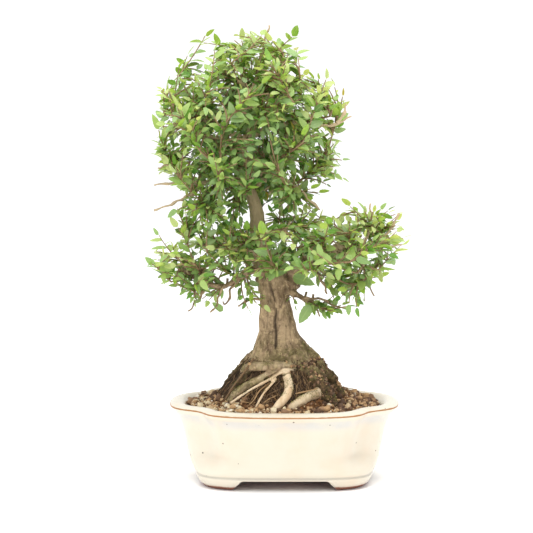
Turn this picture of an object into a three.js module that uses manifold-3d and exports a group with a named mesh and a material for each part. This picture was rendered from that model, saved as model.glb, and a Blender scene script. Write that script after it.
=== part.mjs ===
// A Japanese elm grown as a bonsai, in its four-lobed glazed pot. Millimetres, +Z up, seen from the -Y side.
// The origin is on the surface that the pot stands on, under the middle of the whole plant.
import * as THREE from "three";
import { mergeVertices } from "three/addons/utils/BufferGeometryUtils.js";
import Module from "manifold-3d";

const wasm = await Module();
wasm.setup();

// The pot's middle, seen from the middle of the whole plant.
const POT_AT = [5.5, 0.6, 0];
// The gap between two pieces that touch.
const GAP = 0.35;

// The lobed plan of the pot: half its width and depth at the lip, and the notches between the lobes.
const POT_HALF_WIDTH = 113;
const POT_HALF_DEPTH = 86;
const PLAN_POWER = 2.5;
const NOTCH = { angle: 32, spread: 10.6, depth: 0.125 };
// Below these heights the plan turns into a plain rounded square, which is deeper for its width.
const SQUARE_BASE = { power: 4.2, deeper: 7, from: 34, to: 12 };
const PLAN_SIDES = 40;
// Inside this inset from the lip, a ring of the plan only shrinks towards the middle.
const DEEPEST_INSET = 46;

// Sections of the pot, as [inset from the lip's edge, height].
const FOOT_SECTION = [[46, 9.5], [44.5, 0], [34, 0], [31.5, 1.8], [27.6, 6.5]];
const APRON_SECTION = [[25.6, 11.4], [27, 12.8]];
const WALL_SECTION = [[21.4, 20], [17.4, 31], [14.6, 44], [11.4, 57]];
const LIP_SECTION = [[6, 68.6], [0.8, 73.8], [0, 75.6], [3, 77.4], [11, 79]];
const BOWL_SECTION = [[19, 71], [25, 34], [38, 18]];
const FLOOR = 18;

// Arches that part the feet: half widths at the surface and at the top.
const FRONT_ARCH = { bottom: 52, top: 42, height: 10.4 };
const SIDE_ARCH = { bottom: 18, top: 10, height: 10.4 };
const DRAIN = { x: 38, radius: 9, sides: 10 };
const DRAIN_MESH = { side: 27, thickness: 1.2, windows: 2, bar: 2.4 };

// The soil's level at the pot's wall, then as [share of the way in to the middle, height].
const SOIL_EDGE = 74.5;
const SOIL_MOUND = [[0.16, 79.5], [0.36, 87], [0.52, 95], [0.7, 108]];
const GRIT = { stones: 28, from: 0.03, to: 0.42, seed: 1000 };

// The trunk's outline, as [height, middle x, half width, half depth].
const TRUNK_RINGS = [
  [84, -4, 36, 33], [104, -4, 34.5, 31], [116, -3.6, 31.5, 28], [126, -4.2, 27.5, 24.5],
  [138, -5.2, 22, 20.4], [149, -6, 18.2, 17.5], [162, -7.4, 15.9, 15.3], [178, -9.5, 14.1, 13.5],
  [190, -9.8, 14.8, 13], [200, -10.4, 16.4, 12], [207, -12, 13, 9],
];
const TRUNK_SIDES = 16;

// Roots, each a route of points with its radius at both ends.
const ROOTS = [
  {
    route: [[-40, -10, 108], [-33, -25, 115], [-15, -31, 117], [3, -29, 116], [10, -20, 112]],
    radius: [4.4, 4.6],
  },
  {
    route: [[4, -27, 112], [-14, -33, 108], [-30, -34, 101], [-45, -32, 92], [-54, -30, 80]],
    radius: [4.6, 3.2],
  },
  {
    route: [[0, -27, 114], [4, -40, 100], [2, -47, 91], [-7, -53, 81], [-17, -54, 68]],
    radius: [4.4, 3.8],
  },
  { route: [[34, -34, 92], [20, -46, 88], [7, -53, 80], [-3, -55, 68]], radius: [4.6, 3.4] },
  {
    route: [[8, -27, 113], [-2, -36, 112], [-18, -42, 104], [-35, -45, 95], [-52, -44, 83]],
    radius: [1.4, 1.2],
  },
  { route: [[-8, -38, 106], [-14, -44, 100], [-21, -48, 92], [-30, -52, 76]], radius: [1.5, 1.2] },
  { route: [[-24, 4, 124], [-40, 10, 108], [-56, 15, 92], [-68, 18, 76]], radius: [8, 4.6] },
  { route: [[-22, -12, 122], [-37, -21, 106], [-48, -25, 94], [-60, -28, 78]], radius: [6.4, 4] },
  { route: [[10, -2, 136], [27, -5, 119], [42, -8, 104], [56, -10, 91], [68, -12, 76]], radius: [9.5, 6] },
  { route: [[12, -14, 124], [27, -26, 108], [38, -34, 95], [48, -42, 78]], radius: [8.5, 5.4] },
  { route: [[-8, 12, 124], [-14, 32, 106], [-21, 45, 91], [-26, 54, 76]], radius: [8, 4.4] },
  { route: [[10, 10, 124], [27, 27, 105], [39, 38, 91], [47, 46, 76]], radius: [8.4, 4.6] },
];
const ROOT_SIDES = 5;
const ROOT_STEPS = 4;

// The leader and the limbs, each a route of points with its radius at both ends.
const LEADER = {
  route: [
    [-16, 0, 188], [-20, 0, 208], [-25, 1, 236], [-27, 1, 262], [-32, 2, 280], [-41, 3, 296], [-40, 4, 320],
    [-34, 3, 345], [-30, 1, 372], [-27, 0, 400],
  ],
  radius: [9.6, 1.9],
};
const LEADER_SIDES = 7;
const LIMBS = [
  {
    route: [[2, 0, 186], [12, -2, 203], [25, -4, 217], [42, -6, 225], [64, -6, 228], [98, -4, 232]],
    radius: [9, 2.4],
  },
  { route: [[44, -6, 225], [62, 2, 239], [84, 6, 252]], radius: [3.4, 1.6] },
  { route: [[60, -6, 228], [68, -20, 223], [77, -34, 215]], radius: [3, 1.5] },
  { route: [[56, -4, 228], [64, 15, 229], [75, 32, 229]], radius: [3, 1.5] },
  { route: [[-2, -6, 190], [14, -8, 183], [33, -10, 171]], radius: [3.6, 2.2] },
  {
    route: [[-18, -2, 206], [-32, -5, 208], [-46, -8, 200], [-62, -11, 192], [-90, -13, 202]],
    radius: [5.4, 1.6],
  },
  { route: [[-60, -11, 192], [-70, 4, 200], [-80, 21, 206]], radius: [2.8, 1.5] },
  { route: [[-14, -6, 200], [-14, -22, 209], [-9, -42, 213]], radius: [4.4, 1.7] },
  { route: [[4, -4, 206], [20, -21, 214], [36, -36, 219]], radius: [3.4, 1.6] },
  { route: [[-22, -2, 226], [-38, -19, 230], [-54, -34, 232]], radius: [3, 1.5] },
  { route: [[-14, 4, 202], [-12, 22, 211], [-7, 42, 217]], radius: [4.4, 1.7] },
  { route: [[-20, 2, 212], [-38, 19, 219], [-56, 35, 223]], radius: [3.4, 1.6] },
  { route: [[2, 2, 204], [20, 19, 215], [38, 36, 222]], radius: [3.6, 1.6] },
  { route: [[-25, 0, 236], [-8, -4, 245], [10, -6, 250]], radius: [2.6, 1.5] },
  { route: [[-38, 3, 292], [-62, -2, 295], [-92, -6, 291]], radius: [4.2, 1.7] },
  { route: [[-38, 3, 290], [-18, 0, 296], [8, -5, 287]], radius: [3.6, 1.6] },
  { route: [[-41, 4, 302], [-46, 24, 310], [-50, 46, 312]], radius: [3.4, 1.6] },
  { route: [[-41, 2, 304], [-50, -20, 310], [-60, -44, 311]], radius: [3.4, 1.6] },
  { route: [[-39, 2, 312], [-22, -20, 317], [-4, -41, 319]], radius: [3.2, 1.6] },
  { route: [[-39, 4, 316], [-18, 22, 322], [4, 40, 324]], radius: [3.2, 1.6] },
  { route: [[-38, 3, 326], [-60, 10, 334], [-86, 17, 339]], radius: [3.2, 1.6] },
  { route: [[-36, 2, 334], [-58, -12, 345], [-82, -19, 357]], radius: [3.2, 1.6] },
  { route: [[-35, 2, 338], [-12, 0, 347], [20, -4, 354]], radius: [3.8, 1.7] },
  { route: [[-33, 2, 350], [-28, -20, 360], [-21, -42, 366]], radius: [3, 1.5] },
  { route: [[-32, 2, 356], [-42, 22, 366], [-51, 42, 373]], radius: [3, 1.5] },
  { route: [[-31, 1, 366], [-12, 12, 378], [9, 20, 386]], radius: [3, 1.5] },
  { route: [[-30, 1, 374], [-16, -12, 387], [0, -23, 396]], radius: [2.8, 1.4] },
  { route: [[-29, 0, 380], [-44, -10, 391], [-60, -16, 399]], radius: [2.8, 1.4] },
];
const LIMB_SIDES = 4;

// The foliage: rounded pads whose faces carry the sprays, each with the number of sprays tried on it.
// Sprays that would lie inside another pad, or lower on a pad than its lowest share, are left out.
const PADS = [
  { centre: [-36, 0, 350], radii: [87, 76, 88], sprays: 40, lowest: -0.9, climb: 0.6 },
  { centre: [-78, -2, 212], radii: [49, 46, 28], sprays: 12, lowest: -0.9, climb: 0.2 },
  { centre: [55, -2, 228], radii: [52, 52, 34], sprays: 16, lowest: -0.95, climb: 0.25 },
  { centre: [-8, -36, 230], radii: [50, 34, 28], sprays: 11, lowest: -0.7, climb: 0.2 },
  { centre: [-6, 36, 230], radii: [52, 34, 28], sprays: 11, lowest: -0.7, climb: 0.2 },
];
const PAD_POWER = 2.3;
const INSIDE_PAD = 0.85;
// How far out on its pad a spray lies, how far it leans to a side at random, and how much out of the pad.
const SPRAY_DEPTH = [0.88, 1];
const SPRAY_LEAN = 0.5;
const SPRAY_RISE = 0.15;

// A spray: a bare stem from its limb to a bend near the pad's face, and a leafy shoot on from there.
const SHOOT_LENGTH = 46;
const STEM_RADIUS = [1.8, 1.3];
const SHOOT_RADIUS = [1.3, 0.8];
// How far a shoot's tip bends sideways and out of its pad, as shares of its length.
const TIP_SIDEWAYS = [-0.25, 0.25];
const TIP_OUTWARD = [-0.3, 0.05];
// Where on a limb a stem may start, how many of the starts are tried, and the step that clears the limb.
const STEM_STARTS = [0.4, 0.5, 0.6, 0.7, 0.8, 0.9, 1];
const STEMS_TRIED = 10;
const STEM_STEP = 0.25;
const SHORTEST_STEM = 4;
// The leaves of a shoot are alternate, with one at its tip.
const FIRST_LEAF = 5;
const LEAF_STEP = 5.9;
const FEWEST_LEAVES = 5;
const LEAF_LENGTH = [18, 23];
const LEAF_WIDTH = 0.56;
// Angles of a leaf: away from its shoot, up from it, and rolled over the next one. The last grows on ahead.
const LEAF_TURN = [0.85, 1.1];
const LEAF_UP = [-0.3, 0.3];
const LEAF_ROLL = [0.25, 0.5];
const LAST_TURN = [-0.15, 0.15];
const LAST_ROLL = [-0.3, 0.3];
// How far a leaf's halves fold up, and how far its tip droops, as shares of its size.
const LEAF_FOLD = [0.1, 0.3];
const LEAF_DROOP = [0, 0.16];
// A leaf's edge from its base to its tip, as [share of length, share of half width]: two coarse teeth.
const LEAF_EDGE = [[0.3, 1], [0.46, 0.75], [0.62, 0.82]];
const LEAF_RIB = 0.36;
const LEAF_THICKNESS = 1.3;
// Half the length of stem that a leaf grows from.
const LEAF_FOOT = 1.1;

// Colours.
const GLAZE = 0xefe9dc;
const SOIL_BROWN = 0x4a382b;
const BARK = 0x8d7a63;
const LEAF_GREEN = 0x5f8f3c;
const MESH_BLACK = 0x26282a;

// Repeatable random numbers from 0 to 1. Each group of draws starts from a number of its own.
const RANDOM_RANGE = 2 ** 32;
let state = 0;
function startDraws(number) {
  state = (number * 2654435761) % RANDOM_RANGE;
}
function random() {
  state = (state * 1664525 + 1013904223) % RANDOM_RANGE;
  return state / RANDOM_RANGE;
}
const between = (low, high) => low + (high - low) * random();
const mix = THREE.MathUtils.lerp;
const vector = (xyz) => new THREE.Vector3(...xyz);

// A closed geometry as a solid that can be joined and cut.
function solidOf(geometry) {
  const bare = new THREE.BufferGeometry().setAttribute("position", geometry.getAttribute("position"));
  if (geometry.index) bare.setIndex(geometry.index);
  const merged = mergeVertices(bare, 1e-4);
  return new wasm.Manifold(
    new wasm.Mesh({
      numProp: 3,
      vertProperties: merged.attributes.position.array,
      triVerts: new Uint32Array(merged.index.array),
    }),
  );
}

// A named mesh of a solid's largest body, without loose scraps.
function meshOf(name, solid, material) {
  const larger = (one, other) => (other.volume() > one.volume() ? other : one);
  const made = solid.decompose().reduce(larger).getMesh();
  const geometry = new THREE.BufferGeometry();
  geometry.setAttribute("position", new THREE.BufferAttribute(made.vertProperties, 3));
  geometry.setIndex(new THREE.BufferAttribute(made.triVerts, 1));
  geometry.computeVertexNormals();
  const mesh = new THREE.Mesh(geometry, material);
  mesh.name = name;
  return mesh;
}

const joined = (solids) => solids.reduce((all, solid) => all.add(solid));
const crosses = (one, other) => one.intersect(other).volume() > 0;
function near(one, other) {
  const [p, q] = [one.boundingBox(), other.boundingBox()];
  return [0, 1, 2].every((i) => p.min[i] <= q.max[i] && q.min[i] <= p.max[i]);
}

// A geometry with each of its points moved.
function reshape(geometry, move) {
  const place = geometry.getAttribute("position");
  const point = new THREE.Vector3();
  for (let i = 0; i < place.count; i++) {
    point.fromBufferAttribute(place, i);
    move(point);
    place.setXYZ(i, point.x, point.y, point.z);
  }
  return geometry;
}

// The pot.

// The plan's reach at an angle, for a ring with half axes a and b. It has lobes, or is square where square
// is 1.
function planReach(angle, a, b, square = 0) {
  const [c, s] = [Math.abs(Math.cos(angle)), Math.abs(Math.sin(angle))];
  const power = mix(PLAN_POWER, SQUARE_BASE.power, square);
  const deep = b + SQUARE_BASE.deeper * square;
  const reach = ((c / a) ** power + (s / deep) ** power) ** (-1 / power);
  const off = THREE.MathUtils.radToDeg(Math.atan2(s, c)) - NOTCH.angle;
  return reach * (1 - (1 - square) * NOTCH.depth * Math.exp(-((off / NOTCH.spread) ** 2)));
}

// Turns a section round the middle, and presses it to the lobed plan.
function lobed(section) {
  const profile = section.map(([inset, height]) => new THREE.Vector2(POT_HALF_WIDTH - inset, height));
  const closed = [new THREE.Vector2(0, profile[0].y), ...profile, new THREE.Vector2(0, profile.at(-1).y)];
  const innermost = POT_HALF_WIDTH - DEEPEST_INSET;
  return reshape(new THREE.LatheGeometry(closed, PLAN_SIDES), (point) => {
    const [x, y, height] = [point.x, -point.z, point.y];
    const radius = Math.hypot(x, y);
    const inset = POT_HALF_WIDTH - radius;
    const ring = Math.max(radius, innermost);
    const angle = Math.atan2(y, x);
    const onFloor = height >= FLOOR && inset > BOWL_SECTION.at(-1)[0] - 1;
    const lobes = onFloor ? 1 : THREE.MathUtils.smoothstep(height, SQUARE_BASE.to, SQUARE_BASE.from);
    const deep = ring - POT_HALF_WIDTH + POT_HALF_DEPTH;
    const reach = planReach(angle, ring, deep, 1 - lobes) * (radius / ring);
    point.set(reach * Math.cos(angle), reach * Math.sin(angle), height);
  });
}

// A bar with the section of an arch, through the pot's foot along x or y.
function archCut({ bottom, top, height }, alongX) {
  const reach = 1.2 * POT_HALF_WIDTH;
  const half = (share) => mix(bottom, top, share);
  const outline = new THREE.Shape();
  outline.moveTo(-bottom, -1);
  outline.lineTo(bottom, -1);
  outline.lineTo(bottom, 0.1);
  outline.quadraticCurveTo(half(0.5), 0.1, half(0.6), 0.5 * height);
  outline.quadraticCurveTo(half(0.8), height, half(1.2), height);
  outline.lineTo(-half(1.2), height);
  outline.quadraticCurveTo(-half(0.8), height, -half(0.6), 0.5 * height);
  outline.quadraticCurveTo(-half(0.5), 0.1, -bottom, 0.1);
  outline.closePath();
  const settings = { depth: 2 * reach, bevelEnabled: false, curveSegments: 3 };
  const bar = new THREE.ExtrudeGeometry(outline, settings);
  bar.translate(0, 0, -reach).rotateX(Math.PI / 2);
  return solidOf(alongX ? bar.rotateZ(Math.PI / 2) : bar);
}

function drainHole(x) {
  const bar = new THREE.CylinderGeometry(DRAIN.radius, DRAIN.radius, 3 * FLOOR, DRAIN.sides);
  return solidOf(bar.rotateX(Math.PI / 2).translate(x, 0, FLOOR));
}

function potSolid() {
  const section = [...FOOT_SECTION, ...APRON_SECTION, ...WALL_SECTION, ...LIP_SECTION, ...BOWL_SECTION];
  return solidOf(lobed(section))
    .subtract(archCut(FRONT_ARCH, false))
    .subtract(archCut(SIDE_ARCH, true))
    .subtract(drainHole(-DRAIN.x))
    .subtract(drainHole(DRAIN.x));
}

// A square of plastic mesh, lying on the pot's floor over a drain hole.
function drainMesh(x) {
  const { side, thickness, windows, bar } = DRAIN_MESH;
  const window = (side - (windows + 1) * bar) / windows;
  const at = (n) => (n - (windows - 1) / 2) * (window + bar);
  let mesh = solidOf(new THREE.BoxGeometry(side, side, thickness));
  for (let i = 0; i < windows * windows; i++) {
    const hole = new THREE.BoxGeometry(window, window, 2 * thickness);
    mesh = mesh.subtract(solidOf(hole.translate(at(i % windows), at(Math.floor(i / windows)), 0)));
  }
  return mesh.translate([x, 0, FLOOR + GAP + thickness / 2]);
}

// The room that the soil leaves for a drain mesh.
function drainMeshRoom(x) {
  const side = DRAIN_MESH.side + 2 * GAP;
  const height = 2 * (DRAIN_MESH.thickness + 2 * GAP);
  return solidOf(new THREE.BoxGeometry(side, side, height).translate(x, 0, FLOOR));
}

// The soil.

function soilHeight(share) {
  const levels = [[0, SOIL_EDGE], ...SOIL_MOUND, [1, SOIL_MOUND.at(-1)[1]]];
  const next = levels.findIndex(([at], i) => i > 0 && share <= at);
  const [[a, low], [b, high]] = [levels[next - 1], levels[next]];
  return mix(low, high, (share - a) / (b - a));
}

// Angular grit, half sunk in the soil's face.
function gritStone() {
  const angle = between(0, 2 * Math.PI);
  const share = between(GRIT.from, GRIT.to);
  const inset = BOWL_SECTION[0][0] + 3;
  const reach = (1 - share) * planReach(angle, POT_HALF_WIDTH - inset, POT_HALF_DEPTH - inset);
  const stone = new THREE.OctahedronGeometry(1, 0);
  stone.scale(between(3, 5.4), between(2.6, 4.2), between(2, 3.2));
  stone.rotateZ(between(0, Math.PI)).rotateX(between(-0.3, 0.3));
  stone.translate(reach * Math.cos(angle), reach * Math.sin(angle), soilHeight(share) + 0.2);
  return solidOf(stone);
}

function soilSolid() {
  const wall = BOWL_SECTION.toReversed().map(([inset, height]) => [inset + GAP, height + GAP]);
  const edge = [BOWL_SECTION[0][0] + GAP, SOIL_EDGE];
  const reach = POT_HALF_WIDTH - edge[0];
  const mound = SOIL_MOUND.map(([share, height]) => [edge[0] + share * reach, height]);
  startDraws(GRIT.seed);
  const stones = Array.from({ length: GRIT.stones }, gritStone);
  const room = joined([...rootWood(GAP), drainMeshRoom(-DRAIN.x), drainMeshRoom(DRAIN.x)]);
  return joined([solidOf(lobed([...wall, edge, ...mound])), ...stones]).subtract(room);
}

// The wood.

// The trunk: its rings joined, with the flutes of old wood, deeper towards the roots.
function trunk(extra) {
  const steps = TRUNK_RINGS.length - 1;
  return reshape(new THREE.CylinderGeometry(1, 1, 1, TRUNK_SIDES, steps), (point) => {
    const [height, middle, wide, deep] = TRUNK_RINGS[Math.round((point.y + 0.5) * steps)];
    const angle = Math.atan2(-point.z, point.x);
    const age = 1 - THREE.MathUtils.smoothstep(height, 100, 200);
    const broad = (0.03 + 0.06 * age) * Math.sin(3 * angle + 0.02 * height);
    const fine = 0.04 * Math.sin(5 * angle + 1 - 0.03 * height);
    const reach = Math.hypot(point.x, point.z) * (1 + broad + fine);
    const [x, y] = [(wide + extra) * reach * Math.cos(angle), (deep + extra) * reach * Math.sin(angle)];
    point.set(middle + x, y, height);
  });
}

// A round, tapering length of wood along a curve, grown by extra all round.
function tube(curve, radii, sides, steps, extra = 0) {
  const whole = new THREE.Vector3().subVectors(curve.getPoint(1), curve.getPoint(0)).normalize();
  const reference = Math.abs(whole.z) > 0.8 ? new THREE.Vector3(0, 1, 0) : new THREE.Vector3(0, 0, 1);
  const more = extra / Math.cos(Math.PI / sides);
  const geometry = new THREE.CylinderGeometry(1, 1, 1, sides, steps);
  reshape(geometry, (point) => {
    const t = point.y + 0.5;
    const along = curve.getTangent(t);
    const side = new THREE.Vector3().crossVectors(along, reference).normalize();
    const up = new THREE.Vector3().crossVectors(side, along);
    const radius = mix(...radii, t) + more;
    const [across, rise] = [point.x * radius, point.z * radius];
    point.copy(curve.getPoint(t)).addScaledVector(side, across).addScaledVector(up, rise);
  });
  return solidOf(geometry);
}

const routeOf = (points) => new THREE.CatmullRomCurve3(points.map(vector), false, "catmullrom", 0.5);
const limbWood = ({ route, radius }, extra) =>
  tube(routeOf(route), radius, LIMB_SIDES, route.length - 1, extra);
const leaderWood = (extra) =>
  tube(routeOf(LEADER.route), LEADER.radius, LEADER_SIDES, LEADER.route.length, extra);
const rootWood = (extra) => [
  solidOf(trunk(extra)),
  ...ROOTS.map(({ route, radius }) => tube(routeOf(route), radius, ROOT_SIDES, ROOT_STEPS, extra)),
];

function treeSolid() {
  return joined([...rootWood(0), leaderWood(0), ...LIMBS.map((limb) => limbWood(limb, 0))]);
}

// The foliage.

// How far out a point is on a pad: 1 on its face, less inside.
function padShare(pad, point) {
  const terms = pad.centre.map((c, i) => (Math.abs(point.getComponent(i) - c) / pad.radii[i]) ** PAD_POWER);
  return (terms[0] + terms[1] + terms[2]) ** (1 / PAD_POWER);
}

// The places of the sprays, spread evenly on the pads by the golden angle and numbered: the shoot's middle
// lies on the pad's face, facing out of it, and grows up along it. Its bend, where the stem ends, is deeper
// in. The draws for a place go on into those for its spray.
function* sprayPlaces() {
  const golden = Math.PI * (3 - Math.sqrt(5));
  let number = 0;
  for (const [p, pad] of PADS.entries()) {
    const [centre, radii] = [vector(pad.centre), vector(pad.radii)];
    for (let i = 0; i < pad.sprays; i++) {
      number += 1;
      startDraws(number);
      const rise = 1 - (2 * i + 1) / pad.sprays;
      const turn = i * golden + 1.7 * p;
      const flat = Math.sqrt(1 - rise * rise);
      const face = new THREE.Vector3(flat * Math.cos(turn), flat * Math.sin(turn), rise).multiply(radii);
      face.multiplyScalar(between(...SPRAY_DEPTH) / padShare(pad, face.clone().add(centre)));
      const outward = face.clone().divide(radii).normalize();
      face.add(centre);
      const lean = () => between(-SPRAY_LEAN, SPRAY_LEAN);
      const ahead = new THREE.Vector3(lean(), lean(), pad.climb);
      ahead.addScaledVector(outward, SPRAY_RISE - ahead.dot(outward)).normalize();
      const bend = face.clone().addScaledVector(ahead, -SHOOT_LENGTH / 2);
      const hidden = PADS.some((other) => other !== pad && padShare(other, face) < INSIDE_PAD);
      if (rise > pad.lowest && !hidden) yield { number, bend, outward, ahead };
    }
  }
}

// The straight stems that a spray may have, from places on the limbs near its bend, the best first. Each
// comes as near to its limb as it can without touching.
function* stemsTo(bend, ahead, limbs) {
  const starts = limbs.flatMap((limb) =>
    STEM_STARTS.map((t) => {
      const at = limb.curve.getPoint(t);
      const away = new THREE.Vector3().subVectors(bend, at);
      const forward = limb.curve.getTangent(t).add(ahead).dot(away.clone().normalize());
      return { limb, at, away, cost: away.length() * (1.6 - 0.3 * forward) };
    }),
  );
  starts.sort((one, other) => one.cost - other.cost);
  for (const { limb, at, away } of starts.slice(0, STEMS_TRIED)) {
    for (let clear = STEM_STEP; clear < away.length() - SHORTEST_STEM; clear += STEM_STEP) {
      const foot = at.clone().addScaledVector(away, clear / away.length());
      const line = new THREE.LineCurve3(foot, bend);
      const solid = tube(line, STEM_RADIUS, 4, 1);
      if (crosses(limb.room, solid)) continue;
      yield { line, solid };
      break;
    }
  }
}

// A leafy shoot on from a spray's bend, following the pad's face.
function shootFrom({ bend, outward, ahead }) {
  const left = new THREE.Vector3().crossVectors(outward, ahead).normalize();
  const middle = bend.clone().addScaledVector(ahead, 0.5 * SHOOT_LENGTH);
  const tip = middle.clone().addScaledVector(ahead, 0.5 * SHOOT_LENGTH);
  tip.addScaledVector(left, between(...TIP_SIDEWAYS) * SHOOT_LENGTH);
  tip.addScaledVector(outward, between(...TIP_OUTWARD) * SHOOT_LENGTH);
  return new THREE.QuadraticBezierCurve3(bend, middle, tip);
}

// A shoot's way on at a share of its length, with its left and the way up from its leaves.
function frameAt(curve, outward, at) {
  const ahead = curve.getTangent(at);
  const left = new THREE.Vector3().crossVectors(outward, ahead).normalize();
  return { middle: curve.getPoint(at), ahead, left, up: new THREE.Vector3().crossVectors(ahead, left) };
}

// The leaves of a shoot, right and left in turn, each rolled to lie over the next.
function leavesOf(curve, outward) {
  const long = curve.getLength();
  const count = Math.round((long - FIRST_LEAF) / LEAF_STEP) + 1;
  return Array.from({ length: count }, (_, i) => {
    const last = i === count - 1;
    const at = last ? 1 : (FIRST_LEAF + i * LEAF_STEP) / long;
    const hand = i % 2 ? 1 : -1;
    const { middle, ahead, left, up } = frameAt(curve, outward, at);
    const turn = last ? between(...LAST_TURN) : hand * between(...LEAF_TURN);
    const along = ahead.clone().multiplyScalar(Math.cos(turn)).addScaledVector(left, Math.sin(turn));
    along.addScaledVector(up, between(...LEAF_UP)).normalize();
    const forward = (last ? left : ahead).clone();
    forward.addScaledVector(along, -forward.dot(along)).normalize();
    const normal = new THREE.Vector3().crossVectors(forward, along);
    if (normal.dot(up) < 0) normal.negate();
    const roll = between(...(last ? LAST_ROLL : LEAF_ROLL));
    const length = between(...LEAF_LENGTH);
    return {
      at,
      hand,
      last,
      along,
      foot: middle.addScaledVector(along, 0.5),
      front: forward.clone().multiplyScalar(Math.cos(roll)).addScaledVector(normal, Math.sin(roll)),
      face: normal.clone().multiplyScalar(Math.cos(roll)).addScaledVector(forward, -Math.sin(roll)),
      length,
      width: length * LEAF_WIDTH * between(0.94, 1.06),
      fold: between(...LEAF_FOLD),
      droop: between(...LEAF_DROOP),
    };
  });
}

// A leaf's points: its toothed rim from the stem round the tip and back, and its rib's upper and lower face.
function leafPoints(leaf, extra) {
  const half = leaf.width / 2;
  const at = (share, across, lift) => {
    const bend = leaf.fold * Math.abs(across) * half - leaf.droop * share ** 2 * leaf.length;
    const point = leaf.foot.clone().addScaledVector(leaf.along, share * (leaf.length + extra));
    point.addScaledVector(leaf.front, across * (half + extra));
    return point.addScaledVector(leaf.face, lift + bend);
  };
  const rear = LEAF_EDGE.map(([share, across]) => at(share, -across, 0));
  const fore = LEAF_EDGE.map(([share, across]) => at(share, across, 0)).reverse();
  const lift = LEAF_THICKNESS / 2 + extra;
  return { rim: [...rear, at(1, 0, 0), ...fore], ribs: [at(LEAF_RIB, 0, lift), at(LEAF_RIB, 0, -lift)] };
}

// Points and the triangles between them, sewn into one skin. Turned triangles face the other way.
class Skin {
  points = [];
  triangles = [];
  add(point) {
    this.points.push(point.x, point.y, point.z);
    return this.points.length / 3 - 1;
  }
  face(a, b, c, turned) {
    this.triangles.push(...(turned ? [a, c, b] : [a, b, c]));
  }
  // Triangles from a point to each step of a line.
  fan(middle, line, turned) {
    for (let i = 0; i + 1 < line.length; i++) this.face(middle, line[i], line[i + 1], turned);
  }
  // The strip between one step of an edge and the steps of the line beside it.
  strip(line, from, to, turned) {
    this.face(line[0], from, to, turned);
    this.fan(to, line, !turned);
  }
  solid() {
    const geometry = new THREE.BufferGeometry();
    geometry.setAttribute("position", new THREE.Float32BufferAttribute(this.points, 3));
    geometry.setIndex(this.triangles);
    return solidOf(geometry);
  }
}

// Leaves on the left are mirrored, so their triangles are turned.
const isTurned = (leaf) => leaf.hand > 0 && !leaf.last;

// A leaf alone, grown by extra all round, to find what it would cross.
function leafSolid(leaf, extra) {
  const skin = new Skin();
  const { rim, ribs } = leafPoints(leaf, extra);
  const wide = LEAF_FOOT + extra;
  const feet = [-1, 1].map((hand) => leaf.foot.clone().addScaledVector(leaf.front, hand * wide));
  const edge = [feet[0], ...rim, feet[1]].map((point) => skin.add(point));
  ribs.forEach((rib, side) => skin.fan(skin.add(rib), [...edge, edge[0]], isTurned(leaf) !== (side === 1)));
  return skin.solid();
}

// A spray in one skin: a four-sided stem with a ridge above and below, and an edge left and right that opens
// at each leaf's foot and runs round the leaf's rim.
function spraySkin(line, curve, outward, leaves) {
  const skin = new Skin();
  const stemPoint = ({ middle, left, up }, radius, across, lift) => {
    const point = middle.clone().addScaledVector(left, across * radius);
    return skin.add(point.addScaledVector(up, lift * radius));
  };
  const shootPoint = (at, across, lift) =>
    stemPoint(frameAt(curve, outward, at), mix(...SHOOT_RADIUS, at), across, lift);
  const foot = frameAt(line, outward, 0);
  const bend = frameAt(line, outward, 1);
  bend.up.add(frameAt(curve, outward, 0).up).normalize();
  bend.left.add(frameAt(curve, outward, 0).left).normalize();
  const ridges = [1, -1].map((lift) => [
    stemPoint(foot, STEM_RADIUS[0], 0, lift),
    stemPoint(bend, STEM_RADIUS[1], 0, lift),
    ...leaves.map((leaf) => shootPoint(leaf.at, 0, lift)),
  ]);
  const half = LEAF_FOOT / curve.getLength();
  // The leaf of a node, between the two places where the stem's edge opens.
  const blade = (leaf, node, before, after) => {
    const { rim, ribs } = leafPoints(leaf, 0);
    const edge = [before, ...rim.map((point) => skin.add(point)), after];
    ribs.forEach((rib, side) => {
      skin.fan(skin.add(rib), [...edge, ridges[side][node], before], isTurned(leaf) !== (side === 1));
    });
  };
  const ends = [-1, 1].map((hand) => {
    const start = stemPoint(foot, STEM_RADIUS[0], hand, 0);
    let [node, edge] = [0, start];
    const growTo = (next, point) => {
      ridges.forEach((ridge, side) => {
        skin.strip(ridge.slice(node, next + 1), edge, point, (hand > 0) !== (side === 1));
      });
      [node, edge] = [next, point];
    };
    growTo(1, stemPoint(bend, STEM_RADIUS[1], hand, 0));
    leaves.forEach((leaf, i) => {
      if (leaf.last || leaf.hand !== hand) return;
      growTo(i + 2, shootPoint(leaf.at - half, hand, 0));
      const after = shootPoint(leaf.at + half, hand, 0);
      blade(leaf, node, edge, after);
      edge = after;
    });
    growTo(leaves.length + 1, shootPoint(1, hand, 0));
    return { start, edge };
  });
  blade(leaves.at(-1), leaves.length + 1, ends[0].edge, ends[1].edge);
  const [[top], [bottom]] = ridges;
  skin.face(top, ends[1].start, bottom);
  skin.face(top, bottom, ends[0].start);
  return skin.solid();
}

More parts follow.
